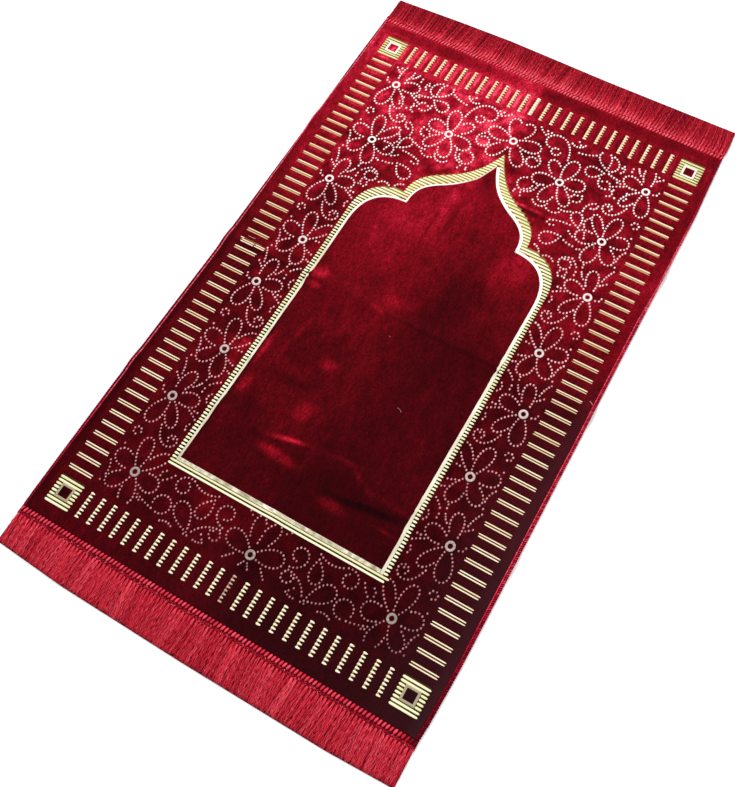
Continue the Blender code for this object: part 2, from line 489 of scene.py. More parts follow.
def pile_material():
    """Velvet: the tone attribute says how the pile lies, with its sheen and shade painted in, from black-red
    to bright red.
    """
    material, nodes, links, shader = new_material("velvet_pile")
    worn_off = add_node(nodes, "ShaderNodeAttribute", attribute_name="dull").outputs["Fac"]
    patches = noise(nodes, links, 55.0, 4.0, (1.0, 0.7, 1.0))
    brushed = noise(nodes, links, 300.0, 3.0, (1.0, 0.35, 1.0))
    tufts = noise(nodes, links, 480.0, 2.0)
    rough = blend(nodes, links, 1.0, (patches, 0.50), (brushed, 0.80), (tufts, 1.05))
    tone = maths(nodes, links, "MULTIPLY", own_tone(nodes), rough)
    dulled = add_node(nodes, "ShaderNodeMixRGB", Color2=(*srgb(54, 27, 32), 1.0))
    links.new(worn_off, dulled.inputs["Fac"])
    links.new(screen_ramp(nodes, links, tone, PILE_STOPS), dulled.inputs["Color1"])
    links.new(dulled.outputs["Color"], shader.inputs["Base Color"])
    shader.inputs["Roughness"].default_value = 0.9
    shader.inputs["Specular IOR Level"].default_value = 0.02
    shader.inputs["Sheen Weight"].default_value = 0.03
    shader.inputs["Sheen Roughness"].default_value = 0.35
    shader.inputs["Sheen Tint"].default_value = (1.0, 0.10, 0.14, 1.0)
    bump(nodes, links, shader, blend(nodes, links, tufts, (brushed, 1.0)), 0.0006, 0.6)
    return material


def toned_material(name, stops, grain, roughness, shine=0.3):
    """A thread that takes its own tone, with a fine grain: its scale, stretch and strength."""
    material, nodes, links, shader = new_material(name)
    scale, stretch, strength = grain
    fibres = noise(nodes, links, scale, 2.0, stretch)
    tone = blend(nodes, links, own_tone(nodes), (fibres, strength))
    links.new(screen_ramp(nodes, links, tone, stops), shader.inputs["Base Color"])
    shader.inputs["Roughness"].default_value = roughness
    shader.inputs["Specular IOR Level"].default_value = shine
    bump(nodes, links, shader, fibres, 0.0002, 0.4)
    return material


# ---------------------------------------------------------------- pile cloth

CLOTH_COLUMNS = 226
CLOTH_ROWS = 392
UNDER_COLUMNS = 12
VINE_SIDE = 272.0
VINE_NEAR = 33.0
VINE_FAR = 993.0

# The rug was folded in eight. In each panel between the folds the pile lies its own way, and the sheen
# of that lie is painted in: how bright its middle looks, and how much that changes over its length and
# from its inner to its outer side.
FOLD_LINES = (235.5, 509.5, 802.5)
PANEL_SHEEN = (
    # left: middle, along, outward; right: middle, along, outward
    (0.250, 0.03, 0.02, 0.172, 0.05, -0.02),
    (0.300, 0.03, -0.02, 0.243, 0.01, 0.00),
    (0.430, 0.17, -0.04, 0.365, 0.16, 0.06),
    (0.600, 0.16, -0.12, 0.440, 0.05, -0.07),
)
PATTERN_LENGTH = (-46.0, 1078.0)
CROSS_BLEND = 7.0
MIDDLE_BLEND = (16.0, 16.0, 12.0, 3.5)

# One row for each crushed or brushed patch, with its sheen painted in, and for painted shade and highlights
# along folds and edges: where its middle is, its length and width, how far its length is turned, and how
# much brighter or darker it looks.
CRUSH_SHEEN_AND_SHADE_MARKS = (
    # across, along, long, wide, turned, strength
    # Painted shade along the far fold on the left border.
    (-232, 806, 130, 26, 0, -0.15),
    (-299.6, -1, 19, 19, 0, -0.14),
    (299.6, -1, 19, 19, 0, -0.14),
    (299.6, 1023.6, 19, 19, 0, -0.14),
    (10, 880, 16, 110, 0, 0.12),
    (40, 834, 40, 40, 0, 0.16),
    # Painted shade and a painted highlight along the far fold.
    (95, 806, 60, 10, 0, -0.16),
    (80, 815, 90, 5, 0, 0.25),
    (230, 803, 160, 12, 0, -0.06),
    (-180, 1064, 400, 30, 0, -0.22),
    (190, 1066, 380, 24, 0, -0.08),
    # Painted shade beside the left bound edge.
    (-336, 300, 800, 16, 90, -0.08),
    (-40, 760, 60, 20, 80, 0.10),
    (-228, 640, 110, 60, 80, -0.08),
    (-90, 655, 190, 90, 75, 0.06),
    (120, 690, 120, 60, 60, 0.12),
    (70, 600, 200, 70, 75, -0.06),
    (-160, 526, 34, 26, 0, 0.22),
    (-157, 500, 26, 12, 0, 0.24),
    (-32, 538, 54, 28, 0, 0.08),
    (-40, 511, 26, 9, -20, 0.14),
    # Painted shade along the middle fold.
    (-250, 509, 170, 9, 0, -0.12),
    (100, 509, 340, 8, 0, -0.05),
    (-214, 338, 46, 36, 20, 0.15),
    (-46, 241, 60, 9, 12, 0.34),
    (-52, 211, 74, 18, -5, 0.22),
    (-62, 214, 30, 12, 0, 0.12),
    (-162, 822, 130, 46, -8, -0.12),
    (-78, 78, 80, 44, -15, 0.07),
    (6, 50, 44, 72, 0, -0.05),
    (-49, 294, 40, 26, 60, 0.16),
    (-60, 383, 32, 22, 20, 0.18),
    (-167, 360, 56, 10, 90, 0.30),
    (-161, 291, 38, 17, 80, 0.22),
    (-134, 400, 100, 9, 80, 0.08),
    # Painted shade along the arch's inner left edge.
    (-175, 320, 420, 5, 90, -0.10),
    (-200, 352, 22, 24, 0, 0.18),
    (-202, 318, 24, 18, 0, 0.15),
    (-162, 214, 30, 4, 0, 0.12),
    (-140, 258, 70, 36, 0, -0.06),
    (-105, 331, 50, 22, 0, -0.06),
    (-60, 470, 120, 60, 35, 0.05),
    (64, 182, 46, 20, 0, 0.18),
    (115, 203, 140, 14, 8, -0.09),
    (155, 185, 40, 5, 0, 0.12),
    (45, 253, 60, 9, 3, 0.08),
    (84, 238, 60, 9, -28, 0.07),
    (140, 226, 90, 10, -3, 0.06),
    # Painted shade along the lengthwise fold.
    (0, 840, 60, 24, 90, -0.16),
    (-6, 825, 50, 14, 90, -0.08),
    (-46, 710, 80, 7, 90, -0.10),
    (-18, 730, 100, 12, 90, -0.12),
    (-36, 720, 90, 12, 90, 0.08),
    (-45, 858, 40, 50, 30, 0.14),
)


def fold_shares(along):
    """How much each of the four panels along the rug counts at a place: smooth steps at the folds."""
    steps = [rise(along, line, CROSS_BLEND) for line in FOLD_LINES]
    return (1 - steps[0], steps[0] * (1 - steps[1]), steps[1] * (1 - steps[2]), steps[2])


def panel_sheen(across, along):
    """The eight panels' painted sheen: each is its middle plus its slopes, blended over the folds."""
    ends = (PATTERN_LENGTH[0], *FOLD_LINES, PATTERN_LENGTH[1])
    outer_share = np.abs(across) / 172.0 - 1.0
    tone = np.zeros(np.broadcast(across, along).shape)
    for i, weight in enumerate(fold_shares(along)):
        left, left_along, left_out, right, right_along, right_out = PANEL_SHEEN[i]
        on_right = rise(across, 0.0, MIDDLE_BLEND[i])
        share = (along - ends[i]) / (ends[i + 1] - ends[i]) - 0.5
        left_tone = left + left_along * share + left_out * 0.5 * outer_share
        right_tone = right + right_along * share + right_out * 0.5 * outer_share
        tone = tone + weight * (left_tone * (1 - on_right) + right_tone * on_right)
    return tone


def light_and_shade_beside_dashes(across, along):
    """Painted highlight and shade on the pile beside each dash: brighter beyond it, darker short of it."""
    end_zone = hump(along - NEAR_SQUARES, 34.0) + hump(along - FAR_SQUARES, 34.0)
    phase = part_turn(across / END_DASH_PITCH)
    ends = end_zone * (hump(phase - 0.36, 0.20) - 0.7 * hump(phase - 0.72, 0.22))
    side_zone = hump(np.abs(across) - SQUARE_ACROSS, 30.0)
    phase = part_turn((along - FIRST_SIDE_DASH) / DASH_PITCH)
    return ends + side_zone * (hump(phase - 0.66, 0.22) - 0.8 * hump(phase - 0.30, 0.20))


def with_sheen_and_shade_marks(across, along, tone):
    """The tone with the marks of painted sheen and shade: each fades as e to the minus cube of the distance
    in its oval's halves.
    """
    for mark_x, mark_y, long, wide, turned, strength in CRUSH_SHEEN_AND_SHADE_MARKS:
        c, s = math.cos(math.radians(turned)), math.sin(math.radians(turned))
        dx, dy = across - mark_x, along - mark_y
        reach = ((dx * c + dy * s) / (0.5 * long)) ** 2 + ((dy * c - dx * s) / (0.5 * wide)) ** 2
        tone = tone + strength * np.exp(-(reach**1.5))
    return tone


def pile_tone_sheen_and_shade(x, y):
    """How bright the pile looks, from 0 to 1, with its sheen and shade painted in: its panel's lie, the
    marks, the light and shade beside the dashes, and smooth unevenness.
    """
    across = x / MM
    along = chart_along(y)
    tone = with_sheen_and_shade_marks(across, along, panel_sheen(across, along))
    outer = half_outline(ARCH_FOOT, ARCH_HALF, ARCH_OUTER)
    in_arch = (along > ARCH_FOOT) & (np.abs(across) < half_width(outer, along))
    in_vine = ~in_arch & (np.abs(across) < VINE_SIDE) & (along > VINE_NEAR) & (along < VINE_FAR)
    lit = np.clip(tone - 0.30, 0.0, 0.4) / 0.4
    ruffled = drift(x, y, 0.015, 13) + 0.6 * drift(x, y, 0.007, 14)
    brushed = drift(x + 0.15 * y, y / 7.0, 0.0055, 15)
    uneven_lie = 0.09 * drift(x, y, 0.060, 11) + 0.05 * drift(x, y, 0.022, 12)
    ruffle_depth = np.where(in_vine, 0.20 + 0.14 * lit, 0.03)
    brush_depth = np.where(in_vine, 0.0, 0.07)
    uneven_lie = uneven_lie + ruffle_depth * ruffled + brush_depth * brushed
    # Painted highlight and shade beside the dashes, stronger where the pile is brighter.
    uneven_lie = uneven_lie + (0.06 + 0.30 * lit) * light_and_shade_beside_dashes(across, along)
    return np.clip(tone * (1.0 + uneven_lie), 0.0, 1.0)


def pile_dullness(x, y):
    """How much the ground shows through the pile, in the right margin and less over the near end."""
    along = chart_along(y)
    margin = hump(x - 0.336, 0.026) * (1.0 - rise(along, 520.0, 20.0))
    near_right = np.clip((80.0 - along) / 100.0, 0.0, 1.0) * np.clip(0.5 + x / 0.4, 0.0, 1.0)
    border = np.clip((x - 0.22) / 0.07, 0.0, 1.0) * np.clip((620.0 - along) / 300.0, 0.0, 1.0)
    return 0.40 * margin + 0.12 * near_right + 0.22 * border


def pile_cloth(material):
    """The panel as one closed skin: a section across the rug, top from left to right and underside
    back again, carried along it. Its heights are the pile's top and the cloth's lift."""
    along = np.linspace(CLOTH_NEAR, CLOTH_FAR, CLOTH_ROWS)
    share = np.linspace(-1.0, 1.0, CLOTH_COLUMNS)
    under = np.linspace(1.0, -1.0, UNDER_COLUMNS)
    left = (side_edge(-1, along) + bead_line(-1, along) + BEAD_TO_PILE)[:, None]
    right = (side_edge(1, along) - bead_line(1, along) - BEAD_TO_PILE)[:, None]
    shares = np.concatenate([share, under])[None, :]
    x = (left + right) / 2 + (right - left) / 2 * shares
    y = np.broadcast_to(along[:, None], x.shape)
    is_top = np.arange(x.shape[1]) < CLOTH_COLUMNS
    z = np.where(is_top, pile_top(x, y), cloth_lift(x, y))
    points = np.stack([x, y, z], -1)
    ring = np.arange(x.shape[1])
    faces = [*grid_faces(CLOTH_ROWS, len(ring), wrap=True), ring[::-1], (CLOTH_ROWS - 1) * len(ring) + ring]
    cloth = new_piece("pile_cloth", points, faces, material, "velvet", pile_tone_sheen_and_shade(x, y), "velvet_panel")
    worn_off = cloth.data.attributes.new("dull", "FLOAT", "POINT")
    worn_off.data.foreach_set("value", np.ascontiguousarray(pile_dullness(x, y), np.float32).ravel())
    cloth.data.set_sharp_from_angle(angle=math.radians(50))
    return cloth


# ---------------------------------------------------------------- gold weave

WEFT_PITCH = 5.95
FLOAT_WIDTH = 4.4
FLOAT_CROWN = 0.0006
FLARE = 0.30
SQUARE_ACROSS = 299.6
SQUARE_HALF = (22.0, 22.5)
RIGHT_SQUARE_SHIFT = 0.4
SQUARE_ROWS = 8
FAR_SQUARE_PITCH = 5.75
NEAR_SQUARES = -1.0
FAR_SQUARES = 1023.4
FAR_DASHES = FAR_SQUARES + 0.6
RING_SQUARE = 12.6
RING_SQUARE_HOLE = 8.0
DASH_PITCH = 20.92
SIDE_DASHES = 46
FIRST_SIDE_DASH = 40.4
SIDE_FLOAT_WIDTH = 2.5
SIDE_FLOATS_APART = 4.2
BROKEN_DASH = 23
BROKEN_FLOATS = (
    # from, to, along
    (-321.5, -314.0, 522.4),
    (-317.5, -291.5, 519.0),
    (-318.0, -291.5, 515.0),
    (-290.0, -270.5, 519.8),
    (-290.5, -270.0, 515.8),
)
END_DASH_PITCH = 21.7
END_DASHES = 25
END_DASH_HALF = (3.6, 3.4)
END_DASH_SHIFT = ((-260, 0.2), (-190, -0.9), (-40, -0.6), (0, -1.5), (45, -1.7), (110, -0.6), (260, 0.4))

# The arch's right half. The left is its mirror. A row is a cubic Bezier's four points.
ARCH_HALF = 191.0
ARCH_FOOT = 119.5
ARCH_OUTER = (
    ((191, 668), (191, 712), (168, 741), (121, 741)),
    ((120.5, 741.5), (121, 775), (104, 789), (78, 804)),
    ((78, 804), (46, 822.5), (21, 849), (0, 899)),
)
INNER_HALF = 177.5
INNER_FOOT = 134.5
ARCH_INNER = (
    ((177.5, 640), (177.5, 700), (150, 723), (105, 723)),
    ((104.5, 723.5), (105, 758), (93, 771), (70, 784)),
    ((70, 784), (36, 801.5), (16, 823), (0, 867)),
)
CURVE_STEPS = 60

# How wide the silver line inside the arch shows. The left one thins over the shoulder and again where
# it is worn: from where along, over what distance, and by how much.
SILVER_RIGHT = 7.0
SILVER_LEFT = 5.3
WORN_FROM = (812.0, 9.0)
LEFT_THINS = ((724.0, 3.0, 1.6), (*WORN_FROM, 1.2))

# Thin plates of bare ground under the gold, darkened with painted shade between the floats.
GROUND_CROWN = 0.0001


def bezier(points, steps=CURVE_STEPS):
    """Points along a cubic Bezier: the four points weighted by (1-t)^3, 3t(1-t)^2, 3t^2(1-t), t^3."""
    t = np.linspace(0.0, 1.0, steps)[:, None]
    p = np.array(points, float)
    return (1 - t) ** 3 * p[0] + 3 * t * (1 - t) ** 2 * p[1] + 3 * t**2 * (1 - t) * p[2] + t**3 * p[3]


def half_outline(foot, half, curves):
    """An arch outline's right half, from its foot up to its point."""
    straight = np.array([(half, y) for y in np.linspace(foot, curves[0][0][1], 40)[:-1]])
    return np.concatenate([straight, *[bezier(c) for c in curves]])


def half_width(outline, along):
    """An outline's half width at places along the rug, 0 beyond its point."""
    width = np.interp(along, outline[:, 1], outline[:, 0])
    return np.where(along > outline[-1, 1], 0.0, width)


def outward(line):
    """Unit normals of a line, to the right of its direction of travel."""
    step = np.gradient(line, axis=0)
    step /= np.linalg.norm(step, axis=1, keepdims=True)
    return np.stack([step[:, 1], -step[:, 0]], -1)


def silver_width(side, along):
    """How wide the silver line shows at places along the arch."""
    if side > 0:
        return np.full_like(along, SILVER_RIGHT)
    width = SILVER_LEFT
    for place, reach, less in LEFT_THINS:
        width = width - less * rise(along, place, reach)
    return width


def gold_gleam_and_tone(across, along, rng):
    """Gold looks palest at the near end and duller towards the far left, a painted reflection, with each
    float its own.
    """
    far = np.clip(np.asarray(along) / 1000.0, 0.0, 1.0)
    side = np.clip(np.asarray(across) / 300.0, -1.0, 1.0)
    return 0.84 - 0.17 * far + 0.05 * side * far + rng.uniform(-0.07, 0.07, np.shape(along))


def side_dash_rows():
    """The middle of every side dash: across, along and half its length."""
    along = np.tile(FIRST_SIDE_DASH + DASH_PITCH * np.arange(SIDE_DASHES), 2)
    on_right = np.repeat([0, 1], SIDE_DASHES)
    shorter = 0.9 * (1 - on_right) * np.clip((along - 800.0) / 100.0, 0.0, 1.0)
    middle = np.where(on_right, SQUARE_ACROSS + RIGHT_SQUARE_SHIFT, -SQUARE_ACROSS) - shorter
    return middle, along, np.array(SQUARE_HALF)[on_right] - shorter


def half_buried(along):
    """How far the pile has closed over a side dash's nearer float: none at the near end, 1 at the far."""
    return np.clip((along - 250.0) / 650.0, 0.0, 1.0)


def side_dashes(rng):
    """Two long floats to a dash, up both sides, but for the broken dash on the left."""
    whole = np.arange(2 * SIDE_DASHES) != BROKEN_DASH
    middle, along, half = (np.repeat(values[whole], 2) for values in side_dash_rows())
    nearer = np.tile([1.0, 0.0], len(along) // 2)
    along = along + (0.5 - nearer) * SIDE_FLOATS_APART
    low = middle - half + rng.uniform(-0.7, 0.7, len(along))
    high = middle + half + rng.uniform(-0.7, 0.7, len(along))
    with_broken = zip((low, high, along), np.array(BROKEN_FLOATS).T)
    low, high, along = (np.concatenate(pair) for pair in with_broken)
    nearer = np.concatenate([nearer, np.zeros(len(BROKEN_FLOATS))])
    buried = nearer * half_buried(along)
    bars = weft_bars(low, high, along, SIDE_FLOAT_WIDTH * (1.0 - 0.45 * buried), FLOAT_CROWN, 10)
    tone = gold_gleam_and_tone(low, along, rng) + 0.12 + 0.16 * half_buried(along) - 0.46 * buried
    return bars, spread(tone, bars)


def end_dash_columns():
    """Where the stacks of floats across both ends stand: the middle ones crowd to the left."""
    columns = END_DASH_PITCH * (np.arange(END_DASHES) - (END_DASHES - 1) / 2)
    return columns + np.interp(columns, *np.array(END_DASH_SHIFT, float).T)


def end_dashes(rng):
    """Stacks of eight short floats, broad at their left ends, and a thin darker thread down each left side
    as painted shadow.

    The near middle stack is missing here, as it is another thread, and the far middle one is full.
    """
    rows = WEFT_PITCH * (np.arange(SQUARE_ROWS) - (SQUARE_ROWS - 1) / 2)
    low, high, along, width, tone = [], [], [], [], []
    for place, half in zip((NEAR_SQUARES, FAR_DASHES), END_DASH_HALF):
        for x in end_dash_columns():
            middle_stack = abs(x) < 10.0
            if middle_stack and place == NEAR_SQUARES:
                continue
            full = 1.0 if middle_stack else 0.0
            is_far = 1.0 if place == FAR_DASHES else 0.0
            thread = max(2.8 + 1.8 * is_far, 8.0 * full)
            low += [x - half - 0.2 * full] * SQUARE_ROWS + [x - half + 0.3] * (SQUARE_ROWS - 1)
            high += [x + half + 0.3 * full] * SQUARE_ROWS + [x - half + thread] * (SQUARE_ROWS - 1)
            along += [*(place + rows), *(place + rows[:-1] + WEFT_PITCH / 2)]
            width += [3.8 + 0.4 * is_far] * SQUARE_ROWS + [2.6] * (SQUARE_ROWS - 1)
            float_tone = 0.16 + 0.16 * full
            # The left-side threads are darker: painted shadow beside each stack.
            tone += [float_tone] * SQUARE_ROWS + [float_tone - 0.5 + 0.4 * is_far] * (SQUARE_ROWS - 1)
    low, high, along = np.array(low), np.array(high), np.array(along)
    jitter = rng.uniform(-0.4, 0.4, len(low))
    bars = weft_bars(low, high + jitter, along, width, 0.0007, 4, flare=FLARE)
    return bars, spread(gold_gleam_and_tone(low, along, rng) + np.array(tone), bars)


def worn_dash(rng):
    """The near middle stack: worn, narrow and pinkish."""
    rows = NEAR_SQUARES + WEFT_PITCH * (np.arange(SQUARE_ROWS) - (SQUARE_ROWS - 1) / 2)
    x = end_dash_columns()[END_DASHES // 2]
    right_ends = x + 2.6 + rng.uniform(-0.9, 0.6, SQUARE_ROWS)
    bars = weft_bars(x - 3.4, right_ends, rows, 3.6, 0.0005, 5, flare=FLARE)
    spine = weft_bars(x - 3.3, x - 1.0, rows[:-1] + WEFT_PITCH / 2, 2.8, 0.0004, 5)
    bars = np.concatenate([bars, spine])
    tone = np.where(np.arange(len(bars)) < SQUARE_ROWS, 0.90, 0.45)
    return bars, spread(tone + rng.uniform(-0.1, 0.1, len(bars)), bars)


def square_rows():
    """Every float of the corner squares: its two ends and its place along, broken round the ring."""
    rows = []
    for middle_x, half in zip((-SQUARE_ACROSS, SQUARE_ACROSS + RIGHT_SQUARE_SHIFT), SQUARE_HALF):
        for middle_y in (NEAR_SQUARES, FAR_SQUARES):
            pitch = WEFT_PITCH if middle_y == NEAR_SQUARES else FAR_SQUARE_PITCH
            for k in range(SQUARE_ROWS):
                offset = pitch * (k - (SQUARE_ROWS - 1) / 2)
                spans = [(-half, half)]
                if abs(offset) < RING_SQUARE:
                    spans = [(-half, -RING_SQUARE + 0.4), (RING_SQUARE - 0.4, half)]
                rows += [(middle_x + a, middle_x + b, middle_y + offset) for a, b in spans]
    return np.array(rows).T


def corner_squares(rng):
    """Eight floats to a square, the middle four broken round the pale ring inside it."""
    low, high, along = square_rows()
    short = high - low < 30.0
    bars = weft_bars(low, high, along, np.where(short, FLOAT_WIDTH, 4.7), FLOAT_CROWN, 8, flare=0.12)
    return bars, spread(gold_gleam_and_tone(low, along, rng) + 0.02, bars)


def comb_rows():
    """The arch band's rows: each row's place along, its outer edge and its edge at the silver line."""
    outer = half_outline(ARCH_FOOT, ARCH_HALF, ARCH_OUTER)
    inner = half_outline(INNER_FOOT, INNER_HALF, ARCH_INNER)
    along = np.arange(131.0, 897.0, WEFT_PITCH)
    near = []
    for side in (-1, 1):
        edge = inner + outward(inner) * (silver_width(side, inner[:, 1:]) - 0.8)
        near.append(half_width(edge[np.argsort(edge[:, 1])], along))
    return along, half_width(outer, along) - 0.3, *near


def arch_comb(rng):
    """Short floats up the arch's sides and longer ones over its shoulders and point."""
    along, far, near_left, near_right = comb_rows()
    both = near_right > 2.0
    low = np.concatenate([near_right[both], -far[both], -far[~both]])
    high = np.concatenate([far[both], -near_left[both], far[~both]])
    rows = np.concatenate([along[both], along[both], along[~both]])
    keep = high - low > 1.5
    low, high, rows = low[keep], high[keep], rows[keep]
    outer = half_outline(ARCH_FOOT, ARCH_HALF, ARCH_OUTER)
    step = np.clip((half_width(outer, rows + 2.0) - half_width(outer, rows - 2.0)) / 4.0, -2.2, 0.0)
    slants = -step * (low < 0.0), step * (high > 0.0)
    on_side = rows < 668.0
    pieces = []
    for chosen, steps, flare, width, lift in (
        (on_side, 5, FLARE, FLOAT_WIDTH, 0.09),
        (~on_side, 14, 0.08, 4.7, 0.14),
    ):
        low_side, high_side, row = low[chosen], high[chosen], rows[chosen]
        cuts = [slant[chosen] for slant in slants]
        bars = weft_bars(low_side, high_side, row, width, FLOAT_CROWN, steps, flare=flare, slants=cuts)
        pieces.append((bars, spread(gold_gleam_and_tone(low_side * 0.3, row, rng) + lift, bars)))
    return pieces


def arch_foot_lines():
    """The two solid gold lines along the arch's foot."""
    rows = np.array([119.4, 125.2])
    bars = weft_bars(np.full(2, -ARCH_HALF), np.array([190.5, 195.0]), rows, 4.4, FLOAT_CROWN, 120)
    return bars, spread([0.94, 0.84], bars)


def plates(low, high, along, width, steps):
    """Thin bars that lie on the cloth, for the ground between and under the floats."""
    return weft_bars(low, high, along, width, GROUND_CROWN, steps, sink=0.0)


def ground_plates():
    """Bare ground under the gold, darkened with painted shade between the floats: thin plates under the
    dashes, squares and arch.
    """
    middle, rows, half = side_dash_rows()
    buried = half_buried(rows)
    low, high = middle - half + 1.0, middle + half - 1.0
    side = plates(low, high, rows + 0.6 * buried, 4.6 - 1.2 * buried, 10)
    x, y = np.meshgrid(end_dash_columns(), (NEAR_SQUARES, FAR_DASHES))
    floats = WEFT_PITCH * (np.arange(SQUARE_ROWS - 1) - (SQUARE_ROWS - 2) / 2)
    x, y = np.repeat(x.ravel(), len(floats)), (y.ravel()[:, None] + floats).ravel()
    half = np.where(y < 500.0, *END_DASH_HALF)
    ends = plates(x - half + 1.5, x + half - 0.3, y, 5.0, 3)
    along, far, near_left, near_right = comb_rows()
    low = np.concatenate([near_right - 2.0, -far + 1.8])
    high = np.concatenate([far - 0.4, -near_left + 2.0])
    band_rows = np.tile(along + WEFT_PITCH / 2, 2)
    low, high, band_rows = (values[high - low > 2.0] for values in (low, high, band_rows))
    band = plates(low, high, band_rows, 5.0, 5)
    foot_rows = np.arange(ARCH_FOOT + 1.0, INNER_FOOT - 1.5, 3.2)
    foot = plates(-ARCH_HALF + 0.5, ARCH_HALF - 1.5, foot_rows, 4.0, 80)
    low, high, square_along = square_rows()
    squares = plates(low + 1.0, high - 0.6, square_along + WEFT_PITCH / 2 * 0.9, 3.4, 8)
    return (
        ("ground_side_dashes", side, spread(0.12 + 0.80 * buried, side)),
        ("ground_end_dashes", ends, spread(np.where(y < 500.0, 0.05, 0.12), ends)),
        ("ground_arch", band, spread(np.clip((band_rows - 610.0) / 150.0, 0.04, 0.95), band)),
        ("ground_foot", foot, spread(np.full(len(foot), 0.35), foot)),
        ("ground_squares", squares, spread(np.where(square_along > 500.0, 0.62, 0.32), squares)),
    )


def gold_pieces():
    rng = np.random.default_rng(21)
    dash = toned_material("gold_dash", DASH_STOPS, (1300.0, (0.3, 1.0, 1.0), 0.35), 0.45)
    band = toned_material("gold_band", BAND_STOPS, (1300.0, (0.3, 1.0, 1.0), 0.30), 0.45)
    worn = toned_material("worn_weft", WORN_STOPS, (1300.0, (0.5, 1.0, 1.0), 0.5), 0.6)
    ground = toned_material("bare_ground_and_shade", GROUND_STOPS, (700.0, (0.4, 1.0, 1.0), 0.3), 0.8, 0.1)
    peach = toned_material("dash_ground_and_shade", PEACH_STOPS, (700.0, (0.4, 1.0, 1.0), 0.3), 0.8, 0.1)
    (comb_sides, side_tone), (comb_top, top_tone) = arch_comb(rng)
    for name, material, (bars, tone) in (
        ("gold_side_dashes", dash, side_dashes(rng)),
        ("gold_end_dashes", dash, end_dashes(rng)),
        ("worn_end_dash", worn, worn_dash(rng)),
        ("gold_corner_squares", band, corner_squares(rng)),
        ("gold_arch_sides", band, (comb_sides, side_tone)),
        ("gold_arch_top", band, (comb_top, top_tone)),
        ("gold_arch_foot", band, arch_foot_lines()),
    ):
        new_piece(name, *tubes(bars), material, "gold_thread", tone)
    # The bare ground plates carry painted shade between the floats.
    for name, bars, tone in ground_plates():
        new_piece(name, *tubes(bars), peach if "side" in name else ground, "gold_thread", tone)


# ---------------------------------------------------------------- silver vine and lines

DOT_SPACING = 5.9
DOT_LENGTH = 4.3
DOT_WIDTH = 3.5
DOT_CROWN = 0.0007
DOTS_APART = 4.3
DOT_TO_ARCH = 2.6
DOT_TO_RING = 3.4
RING_OUTER = 8.2
RING_HOLE = 3.6
STRAY_THREADS = (
    # start, bend, end, tone
    ((211.5, 806.0), (216.0, 803.0), (219.5, 794.0), 0.60),
    ((331.5, 531.5), (335.0, 530.0), (338.5, 527.0), 0.60),
    ((-311.0, 530.5), (-304.0, 530.0), (-297.0, 530.8), 0.60),
    ((73.0, 371.0), (79.0, 370.0), (82.0, 366.5), 0.32),
    ((0.0, 476.0), (1.4, 475.2), (2.4, 474.4), 0.32),
)
REPEAT = 244.7
FIRST_FLOWER = 80.0

# One repeat of the side vine, across from the middle line and along from its lower flower, and then
# the arrangements over the arch and under its foot. All are the right half, and are mirrored.
# A petal is a loop of dots out of a flower or a stem: which way it points, its length and width.
SIDE_FLOWERS = ((225.5, 0), (250, 133.5))
SIDE_PETALS = (
    # across, along, heading, length, width
    (225, 0, 79, 59, 22),
    (225, 0, 21.5, 47, 26),
    (225, 0, -49, 48, 24),
    (225, 0, -104, 53, 24),
    (225, 0, 124, 57, 18),
    (225, 0, 190, 46, 28),
    (250, 133, -79, 56, 25),
    (250, 133, -123, 56, 20),
    (250, 133, 166, 46, 25),
    (250, 133, 101, 54, 21),
)
# A tendril is a line of dots: where it starts and its heading, its length, how far it turns in all,
# and how the turn gathers towards its tip, 1 for an even bend and more for a curl.
SIDE_TENDRILS = (
    # across, along, heading, length, turn, gather
    (253, 148, 74, 17, -8, 1),
    (258, 163, 42, 13, 0, 1),
    (258, 168, 84, 34, -24, 1),
    (256, 58, 88, 37, -325, 1),
    (193, 92, 8, 24, 172, 1),
    (235, 84, -112, 89, -392, 2.1),
    (205, 73, 90, 4, 0, 1),
    (195, 116, 34, 25, -12, 1),
    (198, 128, 0, 6, 0, 1),
    (196, 166, -45, 18, -95, 1),
    (194, -34, 42, 21, -150, 1),
    (270, -2, -128, 36, 62, 1),
    (218, -49, -98, 38, 60, 1),
    (196, -54, -33, 42, -52, 1),
    (267, 31, 42, 7, 0, 1),
    (264, 133, 0, 13, 95, 1),
    (212, 162, 90, 7, 0, 1),
    (225, 166, 118, 9, 0, 1),
    (229, 162, 76, 10, 0, 1),
)
TOP_FLOWERS = ((110, 893), (0, 933))
TOP_PETALS = (
    (110, 893, 80, 56, 24),
    (110, 893, 15, 45, 26),
    (110, 893, -55, 52, 21),
    (110, 893, -105, 54, 24),
    (110, 893, 195, 49, 26),
    (110, 893, 129, 50, 21),
    (0, 933, 9, 52, 26),
    (0, 933, 71, 54, 22),
    (0, 933, -55, 55, 24),
    (171, 958, 116, 39, 22),
    (170, 949, 199, 33, 23),
    (160, 790, 213, 37, 24),
    (178, 821, 119, 33, 20),
)
